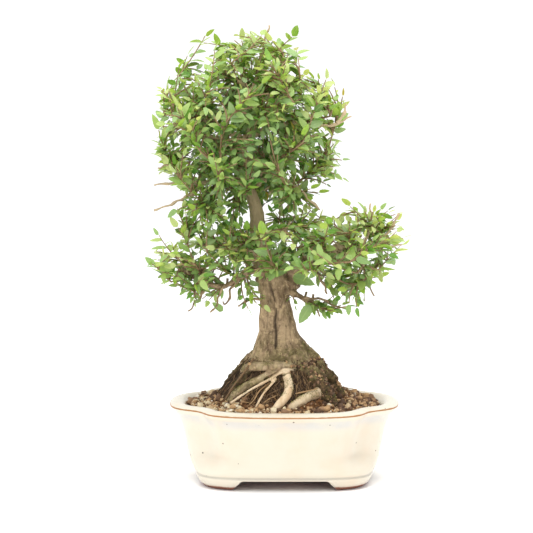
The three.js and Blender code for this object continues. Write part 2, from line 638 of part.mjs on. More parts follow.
// One spray, clear of what is kept already, which then holds its room too. A leaf that would cross wood
// or another leaf is left out.
function spraySolid({ bend, outward, ahead }, limbs, kept) {
  const free = (solid) => !kept.some((other) => near(other, solid) && crosses(other, solid));
  const curve = shootFrom({ bend, outward, ahead });
  if (!free(tube(curve, SHOOT_RADIUS, 4, 4))) return null;
  const stem = [...stemsTo(bend, ahead, limbs)].find(({ solid }) => free(solid));
  if (!stem) return null;
  const rooms = [tube(stem.line, STEM_RADIUS, 4, 1, GAP)];
  const fits = (leaf) => {
    const solid = leafSolid(leaf, 0);
    const clear = free(solid) && !rooms.some((room) => crosses(room, solid));
    if (clear) rooms.push(leafSolid(leaf, GAP));
    return clear;
  };
  const [tip, ...sides] = leavesOf(curve, outward).reverse();
  const leaves = fits(tip) ? [...sides.reverse().filter(fits), tip] : [];
  if (leaves.length < FEWEST_LEAVES) return null;
  const spray = spraySkin(stem.line, curve, outward, leaves);
  if (!free(spray)) return null;
  kept.push(...rooms, tube(curve, SHOOT_RADIUS, 4, 4, GAP));
  return spray;
}

function* sprays() {
  const limbs = LIMBS.map((limb) => ({ curve: routeOf(limb.route), room: limbWood(limb, GAP) }));
  const kept = [...rootWood(GAP), leaderWood(GAP), ...limbs.map((limb) => limb.room)];
  for (const place of sprayPlaces()) {
    const solid = spraySolid(place, limbs, kept);
    if (solid) yield { name: `spray_${String(place.number).padStart(2, "0")}`, solid };
  }
}

// The whole plant.

const plain = (color, roughness) => new THREE.MeshStandardMaterial({ color, roughness, metalness: 0 });
const plastic = plain(MESH_BLACK, 0.5);
const foliage = plain(LEAF_GREEN, 0.5);

const plant = new THREE.Group();
plant.position.set(...POT_AT);
plant.add(meshOf("pot", potSolid(), plain(GLAZE, 0.2)));
plant.add(meshOf("soil", soilSolid(), plain(SOIL_BROWN, 1)));
plant.add(meshOf("tree", treeSolid(), plain(BARK, 0.9)));
plant.add(meshOf("drain_mesh_left", drainMesh(-DRAIN.x), plastic));
plant.add(meshOf("drain_mesh_right", drainMesh(DRAIN.x), plastic));
for (const { name, solid } of sprays()) plant.add(meshOf(name, solid, foliage));

export default plant;
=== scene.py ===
# A Japanese elm grown as a bonsai, in its four-lobed glazed pot, seen from the front on a white ground.
import math

import bpy
import numpy as np
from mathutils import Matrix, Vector, noise
from mathutils.kdtree import KDTree


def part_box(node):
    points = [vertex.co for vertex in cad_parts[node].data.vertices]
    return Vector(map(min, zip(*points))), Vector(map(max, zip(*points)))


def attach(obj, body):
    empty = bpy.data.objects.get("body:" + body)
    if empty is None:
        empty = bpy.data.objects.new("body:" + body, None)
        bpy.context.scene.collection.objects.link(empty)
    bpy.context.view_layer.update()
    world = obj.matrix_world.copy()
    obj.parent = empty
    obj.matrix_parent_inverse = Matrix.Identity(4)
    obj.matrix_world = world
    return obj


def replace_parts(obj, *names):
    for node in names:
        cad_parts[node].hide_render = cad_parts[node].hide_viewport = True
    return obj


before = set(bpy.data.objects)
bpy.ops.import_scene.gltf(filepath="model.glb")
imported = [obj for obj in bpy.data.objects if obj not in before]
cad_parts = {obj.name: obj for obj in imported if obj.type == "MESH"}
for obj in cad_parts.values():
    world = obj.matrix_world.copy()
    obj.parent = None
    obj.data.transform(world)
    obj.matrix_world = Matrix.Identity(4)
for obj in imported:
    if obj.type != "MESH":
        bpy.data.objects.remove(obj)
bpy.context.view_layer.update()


# The pot: stoneware pressed in a four-lobed mould, with a flared lip, an apron and four corner feet. It is
# dipped in a cream-white glaze, which breaks to brown along the lip's sharp edge, and the feet stay bare.
MM = 0.001
PLAN_POWER = 2.5
NOTCH_ANGLE, NOTCH_SPREAD, NOTCH_DEPTH = 32, 11, 0.105
SQUARE_POWER, SQUARE_DEEPER, SQUARE_FROM, SQUARE_TO = 4.2, 7, 34, 12
DEEPEST_INSET = 46
POT_TURNS = 288
FOOT_HEIGHT = 10.4
FRONT_ARCH, SIDE_ARCH = (52, 40), (18, 8)
UNDERSIDE_RINGS = 5
# The section from under the floor, round the foot and the wall, over the lip and down inside, as
# [inset from the lip's edge, height, share of brown at the glaze's break].
POT_SECTION = [
    [46, 9.5, 0], [45.4, 6, 0], [44.8, 1, 0], [44, 0, 0], [39, 0, 0], [34.6, 0, 0], [33.4, 0.4, 0],
    [31.6, 1.8, 0], [29.4, 4, 0], [27.8, 6.5, 0], [26.6, 9, 0], [25.8, 11.2, 0], [26.3, 12.1, 0],
    [26.6, 12.9, 0], [25.4, 14, 0], [23.6, 16.6, 0], [21.4, 20, 0], [19.3, 25, 0], [17.4, 31, 0],
    [15.8, 37.5, 0], [14.6, 44, 0], [13.2, 50.5, 0], [11.4, 57, 0], [9.5, 62, 0], [7.8, 65.6, 0],
    [5.6, 69, 0], [3.2, 71.6, 0], [1.1, 73.7, 0], [0.3, 74.9, 0.2], [0, 75.5, 0.9], [0.15, 76.1, 1],
    [0.7, 76.6, 0.5], [2, 77.3, 0.06], [4.4, 78.2, 0], [7.6, 78.8, 0], [10.4, 78.9, 0], [12.6, 78.3, 0],
    [14.4, 76.9, 0], [16.4, 74.6, 0.1], [18.6, 71.4, 0], [22, 56, 0], [25, 34, 0], [30, 24, 0], [38, 18, 0],
]
GLAZE = {"cream": "d6cebd", "blush": "d9c5ad", "lip_shade": "b3b9c4", "pooled": "a9a397", "break": "9a6a3c"}
PINHOLE, DARK_CLAY, PALE_CLAY = "3f352c", "6a4030", "9a6650"
# Heights in metres at which a band of the glaze fades in and out, and where its lower edge lies. The
# grey-blue band just under the lip is painted shade, where the lip shades the wall.
LIP_SHADE_BAND, GROOVE_BAND = (0.059, 0.067, 0.0695, 0.0725), (0.0110, 0.0124, 0.0132, 0.0150)
GLAZE_EDGE = (0.0030, 0.0046)
pot_low, pot_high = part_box("pot")
pot_middle = (pot_low + pot_high) / 2 / MM
pot_at = Vector((pot_middle.x, pot_middle.y, 0))
HALF_WIDTH, HALF_DEPTH = (pot_high.x - pot_low.x) / 2 / MM, (pot_high.y - pot_low.y) / 2 / MM


def held(share):
    """A share held between 0 and 1."""
    return min(1, max(0, share))


def angles_round(count):
    """Angles spread evenly round a ring."""
    return [2 * math.pi * i / count for i in range(count)]


def eased(share):
    """A share held between 0 and 1, with a soft start and end."""
    share = held(share)
    return share * share * (3 - 2 * share)


def plan_reach(angle, a, b, square):
    """How far the plan reaches at an angle, for a ring with half axes a and b. It has lobes, or is a plain
    rounded square where square is 1."""
    c, s = abs(math.cos(angle)), abs(math.sin(angle))
    power = PLAN_POWER + (SQUARE_POWER - PLAN_POWER) * square
    reach = ((c / a) ** power + (s / (b + SQUARE_DEEPER * square)) ** power) ** (-1 / power)
    off = math.degrees(math.atan2(s, c)) - NOTCH_ANGLE
    return reach * (1 - (1 - square) * NOTCH_DEPTH * math.exp(-((off / NOTCH_SPREAD) ** 2)))


def lobed_point(angle, inset, height=SQUARE_FROM):
    """A point of the plan, seen from the pot's middle. Far in, the rings only shrink, and low down on the
    outside the plan is square."""
    radius = HALF_WIDTH - inset
    ring = max(radius, HALF_WIDTH - DEEPEST_INSET)
    square = eased((SQUARE_FROM - height) / (SQUARE_FROM - SQUARE_TO))
    reach = plan_reach(angle, ring, ring - HALF_WIDTH + HALF_DEPTH, square) * (radius / ring)
    return reach * math.cos(angle), reach * math.sin(angle)


def arch_height(across, arch):
    """How high an arch between two feet stands over a place across it."""
    bottom, top = arch
    return FOOT_HEIGHT * eased((bottom - abs(across)) / (bottom - top))


def add_object(name, data):
    piece = bpy.data.objects.new(name, data)
    bpy.context.scene.collection.objects.link(piece)
    return piece


def new_object(name, points, faces, material):
    """A mesh object from points in millimetres, seen from the pot's middle, that rides with the plant."""
    mesh = bpy.data.meshes.new(name)
    placed = (np.asarray(points, float) + pot_at) * MM
    mesh.from_pydata(placed.tolist(), [], faces)
    mesh.polygons.foreach_set("use_smooth", [True] * len(mesh.polygons))
    mesh.materials.append(material)
    mesh.update()
    piece = add_object(name, mesh)
    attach(piece, "root")
    return piece


def paint(piece, name, values):
    """Stores one number at each point of a piece, for its material."""
    attribute = piece.data.attributes.new(name, "FLOAT", "POINT")
    attribute.data.foreach_set("value", np.asarray(values, np.float32))


def ring_faces(rings, around):
    """The faces between rings of points, each closed on itself."""
    pairs = [(r * around + i, r * around + (i + 1) % around) for r in range(rings - 1) for i in range(around)]
    return [(a, b, b + around, a + around) for a, b in pairs]


def closed_rings(rings, around):
    """The faces of a body made of rings, with its two ends closed."""
    last = (rings - 1) * around
    ends = [tuple(range(around))[::-1], tuple(range(last, last + around))]
    return ring_faces(rings, around) + ends


class Graph:
    """The nodes of a material or a node group, made and joined in short calls."""

    def __init__(self, tree):
        self.tree, self.shader = tree, tree.nodes.get("Principled BSDF")

    def node(self, kind, settings=(), **inputs):
        made = self.tree.nodes.new(kind)
        for name, value in dict(settings).items():
            setattr(made, name, value)
        for name, value in inputs.items():
            self.put(made.inputs[name.replace("_", " ")], value)
        return made

    def put(self, socket, value):
        """Feeds a socket with another's output, a colour as six hexadecimal digits, or a plain value."""
        if isinstance(value, bpy.types.NodeSocket):
            self.tree.links.new(value, socket)
        else:
            socket.default_value = rgb(value) if isinstance(value, str) else value

    def math(self, operation, *values):
        made = self.node("ShaderNodeMath", {"operation": operation})
        for socket, value in zip(made.inputs, values):
            self.put(socket, value)
        return made.outputs[0]

    def times(self, one, other):
        return self.math("MULTIPLY", one, other)

    def plus(self, one, other):
        return self.math("ADD", one, other)

    def minus(self, one, other):
        return self.math("SUBTRACT", one, other)

    def flip(self, share):
        return self.minus(1.0, share)

    def mix(self, share, one, other):
        made = self.node("ShaderNodeMix", {"data_type": "RGBA"})
        self.put(made.inputs["Factor"], share)
        self.put(made.inputs[6], one)
        self.put(made.inputs[7], other)
        return made.outputs[2]

    def tint(self, mask, strength, colour, other):
        """A colour with another laid over it by a mask, at a strength."""
        return self.mix(self.times(mask, strength), colour, other)

    def ramp(self, value, low, high):
        """0 below low and 1 above high, smooth between them."""
        made = self.node("ShaderNodeMapRange", {"interpolation_type": "SMOOTHSTEP"}, Value=value)
        self.put(made.inputs["From Min"], low)
        self.put(made.inputs["From Max"], high)
        return made.outputs["Result"]

    def band(self, value, edges):
        """1 between the two middle edges, fading to 0 at the outer ones."""
        return self.times(self.ramp(value, *edges[:2]), self.flip(self.ramp(value, *edges[2:])))

    def place(self):
        """Where a point is, in metres."""
        return self.node("ShaderNodeNewGeometry").outputs["Position"]

    def height(self):
        return self.node("ShaderNodeSeparateXYZ", Vector=self.place()).outputs["Z"]

    def noise(self, scale, detail=3.0, roughness=0.55, vector=None):
        settings = {"Scale": scale, "Detail": detail, "Roughness": roughness}
        settings["Vector"] = self.place() if vector is None else vector
        return self.node("ShaderNodeTexNoise", **settings).outputs["Fac"]

    def group(self, tree, **inputs):
        return self.node("ShaderNodeGroup", {"node_tree": tree}, Vector=self.place(), **inputs).outputs[0]

    def painted(self, name):
        return self.node("ShaderNodeAttribute", {"attribute_name": name}).outputs["Fac"]

    def look(self, colour, roughness, relief, strength, distance):
        """Gives the shader its colour, its roughness and its relief."""
        bump = self.node("ShaderNodeBump", Height=relief, Strength=strength, Distance=distance)
        self.put(self.shader.inputs["Base Color"], colour)
        self.put(self.shader.inputs["Roughness"], roughness)
        self.put(self.shader.inputs["Normal"], bump.outputs[0])


def new_group(name, *labels):
    """A shader node group with a Vector and named values as inputs, which puts out one mask: the graph
    inside it, its inputs and the mask's socket."""
    group = bpy.data.node_groups.new(name, "ShaderNodeTree")
    group.interface.new_socket("Vector", in_out="INPUT", socket_type="NodeSocketVector")
    for label in labels:
        group.interface.new_socket(label, in_out="INPUT", socket_type="NodeSocketFloat")
    group.interface.new_socket("Mask", in_out="OUTPUT", socket_type="NodeSocketFloat")
    graph = Graph(group)
    return graph, graph.node("NodeGroupInput").outputs, graph.node("NodeGroupOutput").inputs["Mask"]


def new_material(name):
    """A material and its graph."""
    material = bpy.data.materials.new(name)
    material.use_nodes = True
    return material, Graph(material.node_tree)


def rgb(hexcode):
    """A colour as the eye sees it, turned to the renderer's linear values."""
    parts = [int(hexcode[i : i + 2], 16) / 255 for i in (0, 2, 4)]
    return tuple(p / 12.92 if p <= 0.04045 else ((p + 0.055) / 1.055) ** 2.4 for p in parts) + (1.0,)


def speck_group():
    """Scattered specks: one in some of the cells, each of its own size."""
    graph, inputs, mask = new_group("specks", "Scale", "Size", "Share")
    cells = graph.node("ShaderNodeTexVoronoi", Vector=inputs["Vector"], Scale=inputs["Scale"])
    parts = graph.node("ShaderNodeSeparateColor", Color=cells.outputs["Color"])
    chosen = graph.math("LESS_THAN", parts.outputs[0], inputs["Share"])
    size = graph.times(inputs["Size"], graph.plus(parts.outputs[1], 0.25))
    near = graph.flip(graph.ramp(cells.outputs["Distance"], graph.times(size, 0.5), size))
    graph.put(mask, graph.times(near, chosen))
    return graph.tree


def mottle_group():
    """Cloudy patches: 1 where the noise is above High, 0 where it is below Low."""
    graph, inputs, mask = new_group("mottle", "Scale", "Low", "High")
    cloud = graph.noise(inputs["Scale"], vector=inputs["Vector"])
    graph.put(mask, graph.ramp(cloud, inputs["Low"], inputs["High"]))
    return graph.tree


specks, mottle = speck_group(), mottle_group()


def glaze_material():
    material, graph = new_material("cream_glaze")
    height = graph.height()
    blush = graph.group(mottle, Scale=22.0, Low=0.46, High=0.72)
    lip_shade = graph.group(mottle, Scale=60.0, Low=0.2, High=0.62)
    colour = graph.tint(blush, 0.55, GLAZE["cream"], GLAZE["blush"])
    # Painted shade: a patchy grey-blue band on the wall just under the lip.
    colour = graph.tint(graph.times(lip_shade, graph.band(height, LIP_SHADE_BAND)), 0.4, colour, GLAZE["lip_shade"])
    colour = graph.tint(graph.band(height, GROOVE_BAND), 0.6, colour, GLAZE["pooled"])
    ragged = graph.times(graph.minus(graph.noise(160.0), 0.5), 0.5)
    broken = graph.ramp(graph.plus(graph.painted("glaze_break"), ragged), 0.3, 0.75)
    colour = graph.mix(broken, colour, GLAZE["break"])
    holes = graph.group(specks, Scale=88.0, Size=0.11, Share=0.85)
    colour = graph.tint(holes, 0.9, colour, PINHOLE)
    wavy = graph.plus(height, graph.times(graph.minus(graph.noise(120.0), 0.5), 0.003))
    bare = graph.math("MAXIMUM", graph.flip(graph.ramp(wavy, *GLAZE_EDGE)), graph.painted("bare_clay"))
    clay = graph.mix(graph.noise(700.0), DARK_CLAY, PALE_CLAY)
    colour = graph.mix(bare, colour, clay)
    rough = graph.plus(0.16, graph.times(graph.noise(260.0), 0.12))
    grain = graph.times(graph.noise(1500.0), graph.plus(0.08, bare))
    dents = graph.minus(graph.plus(graph.noise(180.0, 2.0), grain), graph.times(holes, 0.8))
    graph.look(colour, graph.plus(rough, graph.times(bare, 0.55)), dents, 0.35, 0.0006)
    return material


def make_pot():
    points, brown, bare = [], [], []
    lip = max(range(len(POT_SECTION)), key=lambda k: POT_SECTION[k][1])
    for k, (inset, level, share) in enumerate(POT_SECTION):
        outside = k < lip
        for angle in angles_round(POT_TURNS):
            x, y = lobed_point(angle, inset, level if outside else SQUARE_FROM)
            height = level
            if outside and level < FOOT_HEIGHT + 0.6:
                height = max(level, arch_height(x, FRONT_ARCH), arch_height(y, SIDE_ARCH))
            points.append((x, y, height))
            brown.append(share)
            bare.append(k < UNDERSIDE_RINGS)
    pot = new_object("glazed_pot", points, closed_rings(len(POT_SECTION), POT_TURNS), glaze_material())
    paint(pot, "glaze_break", brown)
    paint(pot, "bare_clay", bare)
    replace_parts(pot, "pot")


make_pot()


# The drain meshes: squares of black moulded plastic mesh, laid on the pot's floor over the drain holes.
# The soil's weight holds them, and they keep it in.
def make_drain_meshes():
    material, graph = new_material("drain_mesh_plastic")
    colour = graph.mix(graph.noise(400.0), "1c1d1f", "34363a")
    graph.look(colour, 0.5, graph.noise(2500.0), 0.3, 0.0003)
    for name in ("drain_mesh_left", "drain_mesh_right"):
        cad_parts[name].data.materials.clear()
        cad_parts[name].data.materials.append(material)


make_drain_meshes()


# The soil: dark, fibrous potting earth with fine grit in it, which fills the pot inside. It is packed round
# the roots, higher than the lip, and heaped up under the trunk.
SOIL_FOOT, SOIL_EDGE, SOIL_INSET = 20.2, 75.0, 19.6
# The soil's face, as [share of the way in from the wall, height].
SOIL_MOUND = [[0, 75], [0.06, 77], [0.16, 79.5], [0.36, 87], [0.52, 95], [0.7, 106], [1, 108]]
# The soil's underside and side, as [inset from the lip's edge, share pulled in to the middle, height].
SOIL_BELOW = [
    [38, 0.3, SOIL_FOOT], [36, 0, SOIL_FOOT], [25.6, 0, 35], [22.6, 0, 56], [SOIL_INSET, 0, SOIL_EDGE - 2],
]
SOIL_RINGS, SOIL_TURNS = 84, 240


def soil_level(share):
    """The soil's height at a share of the way in from the wall to the middle."""
    return float(np.interp(share, *np.transpose(SOIL_MOUND)))


def soil_point(angle, share):
    """A point on the soil, with the lumps of its face."""
    x, y = (n * (1 - share) for n in lobed_point(angle, SOIL_INSET))
    rough = noise.noise(Vector((x, y, 0)) / 9) * 1.6 + noise.noise(Vector((x, y, 5)) / 3.2) * 1.0
    fine = noise.noise(Vector((x, y, 9)) / 1.4) * 0.7
    return x, y, soil_level(share) + (rough + fine) * min(1, 0.25 + 6 * share)


def soil_material():
    material, graph = new_material("dark_soil")
    coarse, fine = graph.noise(300.0, 4.0, 0.7), graph.noise(1100.0, 3.0, 0.7)
    colour = graph.mix(graph.ramp(coarse, 0.35, 0.65), "35210f", "7a5334")
    colour = graph.tint(graph.ramp(fine, 0.55, 0.7), 0.5, colour, "a57f56")
    graph.look(colour, 0.95, graph.plus(coarse, graph.times(fine, 0.5)), 0.9, 0.0015)
    graph.shader.inputs["Specular IOR Level"].default_value = 0.2
    return material


def make_soil():
    points, angles = [], angles_round(SOIL_TURNS)
    for inset, pulled, level in SOIL_BELOW:
        for angle in angles:
            x, y = lobed_point(angle, inset)
            points.append((x * (1 - pulled), y * (1 - pulled), level))
    for r in range(SOIL_RINGS):
        points.extend(soil_point(angle, r / SOIL_RINGS) for angle in angles)
    faces = closed_rings(SOIL_RINGS + len(SOIL_BELOW), SOIL_TURNS)
    soil = new_object("soil_mound", points, faces, soil_material())
    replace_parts(soil, "soil")


make_soil()


# The grit: pale and brown stones of fired clay, pumice and gravel. They lie loose on the soil, half sunk in
# it, thickest by the pot's wall.
GRIT_STONES, GRIT_LIFT = 2100, 0.12
GRIT_SIZES, GRIT_SHARES = [1.4, 2.2, 3.2, 4.4, 7.5], [0.36, 0.32, 0.2, 0.1, 0.02]
# A stone's outline, as [height, radius].
STONE_OUTLINE = [(-0.5, 0.0), (-0.36, 0.34), (-0.08, 0.5), (0.2, 0.46), (0.42, 0.27), (0.5, 0.0)]
STONE_SHAPES = 8
rng = np.random.default_rng(11)


def joined_bodies(bodies):
    """Several closed bodies as one list of points and faces."""
    points, faces = [], []
    for body, sides in bodies:
        start = len(points)
        points.extend(np.asarray(body).tolist())
        faces.extend([tuple(start + i for i in side) for side in sides])
    return points, faces


def toned_bodies(name, bodies, material, tones):
    """One piece of many small bodies, each with its own tone."""
    piece = new_object(name, *joined_bodies(bodies), material)
    paint(piece, "tone", np.repeat(tones, [len(body) for body, _ in bodies]))
    return piece


def stone_shapes(around):
    """A few worn, lumpy stones, half a unit in radius."""
    made = []
    for k in range(STONE_SHAPES):
        body = []
        for z, radius in STONE_OUTLINE:
            for angle in angles_round(around):
                point = Vector((radius * math.cos(angle), radius * math.sin(angle), z))
                body.append(point * (1 + 0.75 * noise.noise(point * 2.8 + Vector((7 * k, 0, 3 * k)))))
        made.append((np.array(body), closed_rings(len(STONE_OUTLINE), around)))
    return made


def turned(scale):
    """A random turn, with a stretch along its own axes."""
    a, b, c = rng.uniform(0, 2 * math.pi, 3)
    about_z = np.array([[math.cos(a), -math.sin(a), 0], [math.sin(a), math.cos(a), 0], [0, 0, 1]])
    about_x = np.array([[1, 0, 0], [0, math.cos(b), -math.sin(b)], [0, math.sin(b), math.cos(b)]])
    about_y = np.array([[math.cos(c), 0, math.sin(c)], [0, 1, 0], [-math.sin(c), 0, math.cos(c)]])
    return about_z @ about_x @ about_y @ np.diag(scale)


def grit_material():
    material, graph = new_material("fired_clay_grit")
    tone = graph.painted("tone")
    colour = "46301f"
    for low, high, next_colour in (
        (0.0, 0.32, "8a6a50"), (0.3, 0.46, "b8946a"), (0.6, 0.8, "d8c6a2"), (0.9, 0.97, "ebe4d4"),
    ):
        colour = graph.mix(graph.ramp(tone, low, high), colour, next_colour)
    grime = graph.ramp(graph.noise(600.0, 4.0, 0.7), 0.45, 0.75)
    colour = graph.tint(grime, 0.4, colour, "6b4c33")
    graph.look(colour, 0.85, graph.noise(1800.0, 3.0, 0.7), 0.8, 0.0006)
    return material


grit_look = grit_material()


def make_grit():
    shapes, stones, tones = stone_shapes(7), [], []
    while len(stones) < GRIT_STONES:
        share = rng.beta(0.9, 3.2) * 0.85 + 0.012
        angle = rng.uniform(0, 2 * math.pi)
        if share > 0.3 and rng.random() < 0.55:
            continue
        under_front_roots = share > 0.1 and math.sin(angle) < -0.75
        if under_front_roots and rng.random() < 0.75:
            continue
        size = float(rng.choice(GRIT_SIZES, p=GRIT_SHARES))
        x, y, z = soil_point(angle, share)
        stretch = size * rng.uniform(0.75, 1.25, 3)
        body, faces = shapes[int(rng.integers(STONE_SHAPES))]
        stones.append((body @ turned(stretch).T + (x, y, z + GRIT_LIFT * size), faces))
        pale_heap = share < 0.2 and x < 0
        tones.append(rng.beta(1.3, 1.0) if pale_heap else rng.beta(1.0, 1.9))
    toned_bodies("grit", stones, grit_look, tones)


make_grit()


# The wood: one trunk on a wide flare of crossing roots, with a leader that leans left and limbs that were
# pruned and grown out again for years, all one growth. The roots hold it in the soil. Its old bark is
# grey-brown, fluted and cracked, and mossy near the soil.
TRUNK_STEPS, TRUNK_SIDES = 56, 64
# The trunk's outline, as [height, middle x, half width, half depth].
TRUNK_RINGS = [
    [78, -4, 37, 34], [84, -4, 36, 33], [104, -4, 34.5, 31], [116, -3.6, 31.5, 28], [126, -4.2, 27.5, 24.5],
    [138, -5.2, 22, 20.4], [149, -6, 18.2, 17.5], [162, -7.4, 15.9, 15.3], [178, -9.5, 14.1, 13.5],
    [190, -9.8, 14.8, 13], [200, -10.4, 16.4, 12], [207, -12, 13, 9],
]
# Roots, each as [route, radii at its ends, how pale its skin is].
ROOTS = [
    [[(-40, -10, 108), (-33, -25, 115), (-15, -31, 117), (3, -29, 116), (10, -20, 112)], (4.4, 4.6), 0.25],
    [[(4, -27, 112), (-14, -33, 108), (-30, -34, 101), (-45, -32, 92), (-54, -30, 80)], (4.6, 3.2), 0.3],
    [[(0, -27, 114), (4, -40, 100), (2, -47, 91), (-7, -53, 81), (-17, -54, 68)], (4.4, 3.8), 1.0],
    [[(34, -34, 92), (20, -46, 88), (7, -53, 80), (-3, -55, 68)], (4.6, 3.4), 0.75],
    [[(8, -27, 113), (-2, -36, 112), (-18, -42, 104), (-35, -45, 95), (-52, -44, 83)], (1.4, 1.2), 0.9],
    [[(-8, -38, 106), (-14, -44, 100), (-21, -48, 92), (-30, -52, 76)], (1.5, 1.2), 1.0],
    [[(-24, 4, 124), (-40, 10, 108), (-53, 15, 92), (-63, 18, 76)], (8, 3.8), 0.1],
    [[(-22, -12, 122), (-37, -21, 106), (-47, -25, 94), (-58, -28, 78)], (6, 3.4), 0.15],
    [[(10, -2, 136), (27, -5, 119), (40, -8, 104), (51, -10, 91), (61, -12, 76)], (9, 4.6), 0.05],
    [[(12, -14, 124), (27, -26, 108), (38, -34, 95), (48, -42, 78)], (8.5, 5.4), 0.05],
    [[(-8, 12, 124), (-14, 32, 106), (-21, 45, 91), (-26, 54, 76)], (8, 4.4), 0.1],
    [[(10, 10, 124), (27, 27, 105), (39, 38, 91), (47, 46, 76)], (8.4, 4.6), 0.1],
]
LEADER = [
    (-16, 0, 188), (-20, 0, 208), (-25, 1, 236), (-27, 1, 262), (-32, 2, 280), (-41, 3, 296), (-40, 4, 320),
    (-34, 3, 345), (-30, 1, 372), (-27, 0, 400),
]
LEADER_RADII = (9.8, 8, 6.4, 4, 2.6, 1.8)
# Limbs, each as [route, radii at its ends]. The low ones are one skin with the trunk.
LIMBS = [
    [[(2, 0, 186), (12, -2, 203), (25, -4, 217), (42, -6, 225), (64, -6, 228), (98, -4, 232)], (9, 2.4)],
    [[(44, -6, 225), (62, 2, 239), (84, 6, 252)], (3.4, 1.6)],
    [[(60, -6, 228), (68, -20, 223), (77, -34, 215)], (3, 1.5)],
    [[(56, -4, 228), (64, 15, 229), (75, 32, 229)], (3, 1.5)],
    [[(-2, -6, 190), (14, -8, 183), (33, -10, 171)], (3.6, 2.2)],
    [[(-18, -2, 206), (-32, -5, 208), (-46, -8, 200), (-62, -11, 192), (-90, -13, 202)], (5.4, 1.6)],
    [[(-60, -11, 192), (-70, 4, 200), (-80, 21, 206)], (2.8, 1.5)],
    [[(-14, -6, 200), (-14, -22, 209), (-9, -42, 213)], (4.4, 1.7)],
    [[(4, -4, 206), (20, -21, 214), (36, -36, 219)], (3.4, 1.6)],
    [[(-22, -2, 226), (-38, -19, 230), (-54, -34, 232)], (3, 1.5)],
    [[(-14, 4, 202), (-12, 22, 211), (-7, 42, 217)], (4.4, 1.7)],
    [[(-20, 2, 212), (-38, 19, 219), (-56, 35, 223)], (3.4, 1.6)],
    [[(2, 2, 204), (20, 19, 215), (38, 36, 222)], (3.6, 1.6)],
    [[(-25, 0, 236), (-8, -4, 245), (10, -6, 250)], (2.6, 1.5)],
    [[(-38, 3, 292), (-62, -2, 295), (-92, -6, 291)], (4.2, 1.7)],
    [[(-38, 3, 290), (-18, 0, 296), (8, -5, 287)], (3.6, 1.6)],
    [[(-41, 4, 302), (-46, 24, 310), (-50, 46, 312)], (3.4, 1.6)],
    [[(-41, 2, 304), (-50, -20, 310), (-60, -44, 311)], (3.4, 1.6)],
    [[(-39, 2, 312), (-22, -20, 317), (-4, -41, 319)], (3.2, 1.6)],
    [[(-39, 4, 316), (-18, 22, 322), (4, 40, 324)], (3.2, 1.6)],
    [[(-38, 3, 326), (-60, 10, 334), (-86, 17, 339)], (3.2, 1.6)],
    [[(-36, 2, 334), (-58, -12, 345), (-82, -19, 357)], (3.2, 1.6)],
    [[(-35, 2, 338), (-12, 0, 347), (20, -4, 354)], (3.8, 1.7)],
    [[(-33, 2, 350), (-28, -20, 360), (-21, -42, 366)], (3, 1.5)],
    [[(-32, 2, 356), (-42, 22, 366), (-51, 42, 373)], (3, 1.5)],
    [[(-31, 1, 366), (-12, 12, 378), (9, 20, 386)], (3, 1.5)],
    [[(-30, 1, 374), (-16, -12, 387), (0, -23, 396)], (2.8, 1.4)],
    [[(-29, 0, 380), (-44, -10, 391), (-60, -16, 399)], (2.8, 1.4)],
]
LOW_LIMBS = 13
# Splits in the front of the bark, each as [x, height] down its length.
SPLITS = [[(-7.5, 172), (-9.5, 158), (-8, 146), (-8.8, 130)], [(-16, 201), (-13, 190), (-9.5, 177)]]
WOOD_VOXEL, WOOD_SOFTENED = 1.05, 3
# Heights at which the bark's marks end, each with the height over which it fades in below.
MOSS_TOP, OLD_BARK_TOP, EARTH_TOP, SOILED_TOP = (150, 45), (235, 60), (116, 14), (82, 8)
BARK_STRETCH, YOUNG_BARK, CRACK_DEPTH, EARTH_WAVES = 0.16, 0.25, 2.2, 16.8
ROOT_STEPS, LIMB_STEPS = 9, 10


def through(points, steps):
    """A smooth line through points, with the given number of steps between each two."""
    p = np.array([points[0], *points, points[-1]], float)
    p[0] = 2 * p[1] - p[2]
    p[-1] = 2 * p[-2] - p[-3]
    line = []
    for k in range(1, len(p) - 2):
        a, b, c, d = p[k - 1 : k + 3]
        for t in np.arange(steps) / steps:
            curve = (2 * a - 5 * b + 4 * c - d) * t**2 + (3 * b - a - 3 * c + d) * t**3
            line.append(0.5 * (2 * b + (c - a) * t + curve))
    return np.array(line + [p[-2]])


def tube(line, radii, sides, knobs):
    """A round length of wood along a line, closed at both ends, with knobs where buds and twigs once were."""
    ahead = np.gradient(line, axis=0)
    ahead /= np.linalg.norm(ahead, axis=1, keepdims=True)
    side = np.cross(ahead, [0.31, 0.2, 0.93] if abs(ahead[0][2]) < 0.8 else [0.1, 1, 0])
    side /= np.linalg.norm(side, axis=1, keepdims=True)
    up = np.cross(side, ahead)
    angles = angles_round(sides)
    radius = np.interp(np.linspace(0, 1, len(line)), np.linspace(0, 1, len(radii)), radii)
    radius = radius * [1 + knobs * max(0, noise.noise(Vector(p) / 5)) * 2 for p in line]
    round_it = np.cos(angles)[None, :, None] * side[:, None] + np.sin(angles)[None, :, None] * up[:, None]
    rings = line[:, None] + radius[:, None, None] * round_it
    return rings.reshape(-1, 3), [face[::-1] for face in closed_rings(len(line), sides)]


def trunk_body():
    """The trunk, with the flutes of old wood, deeper towards the roots."""
    levels, *outline = np.transpose(TRUNK_RINGS)
    points = []
    for height in np.linspace(levels[0], levels[-1], TRUNK_STEPS):
        middle, wide, deep = (float(np.interp(height, levels, values)) for values in outline)
        age = 1 - held((height - 100) / 100)
        for angle in angles_round(TRUNK_SIDES):
            broad = (0.03 + 0.06 * age) * math.sin(3 * angle + 0.02 * height)
            fine = 0.04 * math.sin(5 * angle + 1 - 0.03 * height)
            reach = 1 + broad + fine + 0.02 * math.sin(9 * angle + 0.05 * height)
            points.append((middle + wide * reach * math.cos(angle), deep * reach * math.sin(angle), height))
    return np.array(points), closed_rings(TRUNK_STEPS, TRUNK_SIDES)


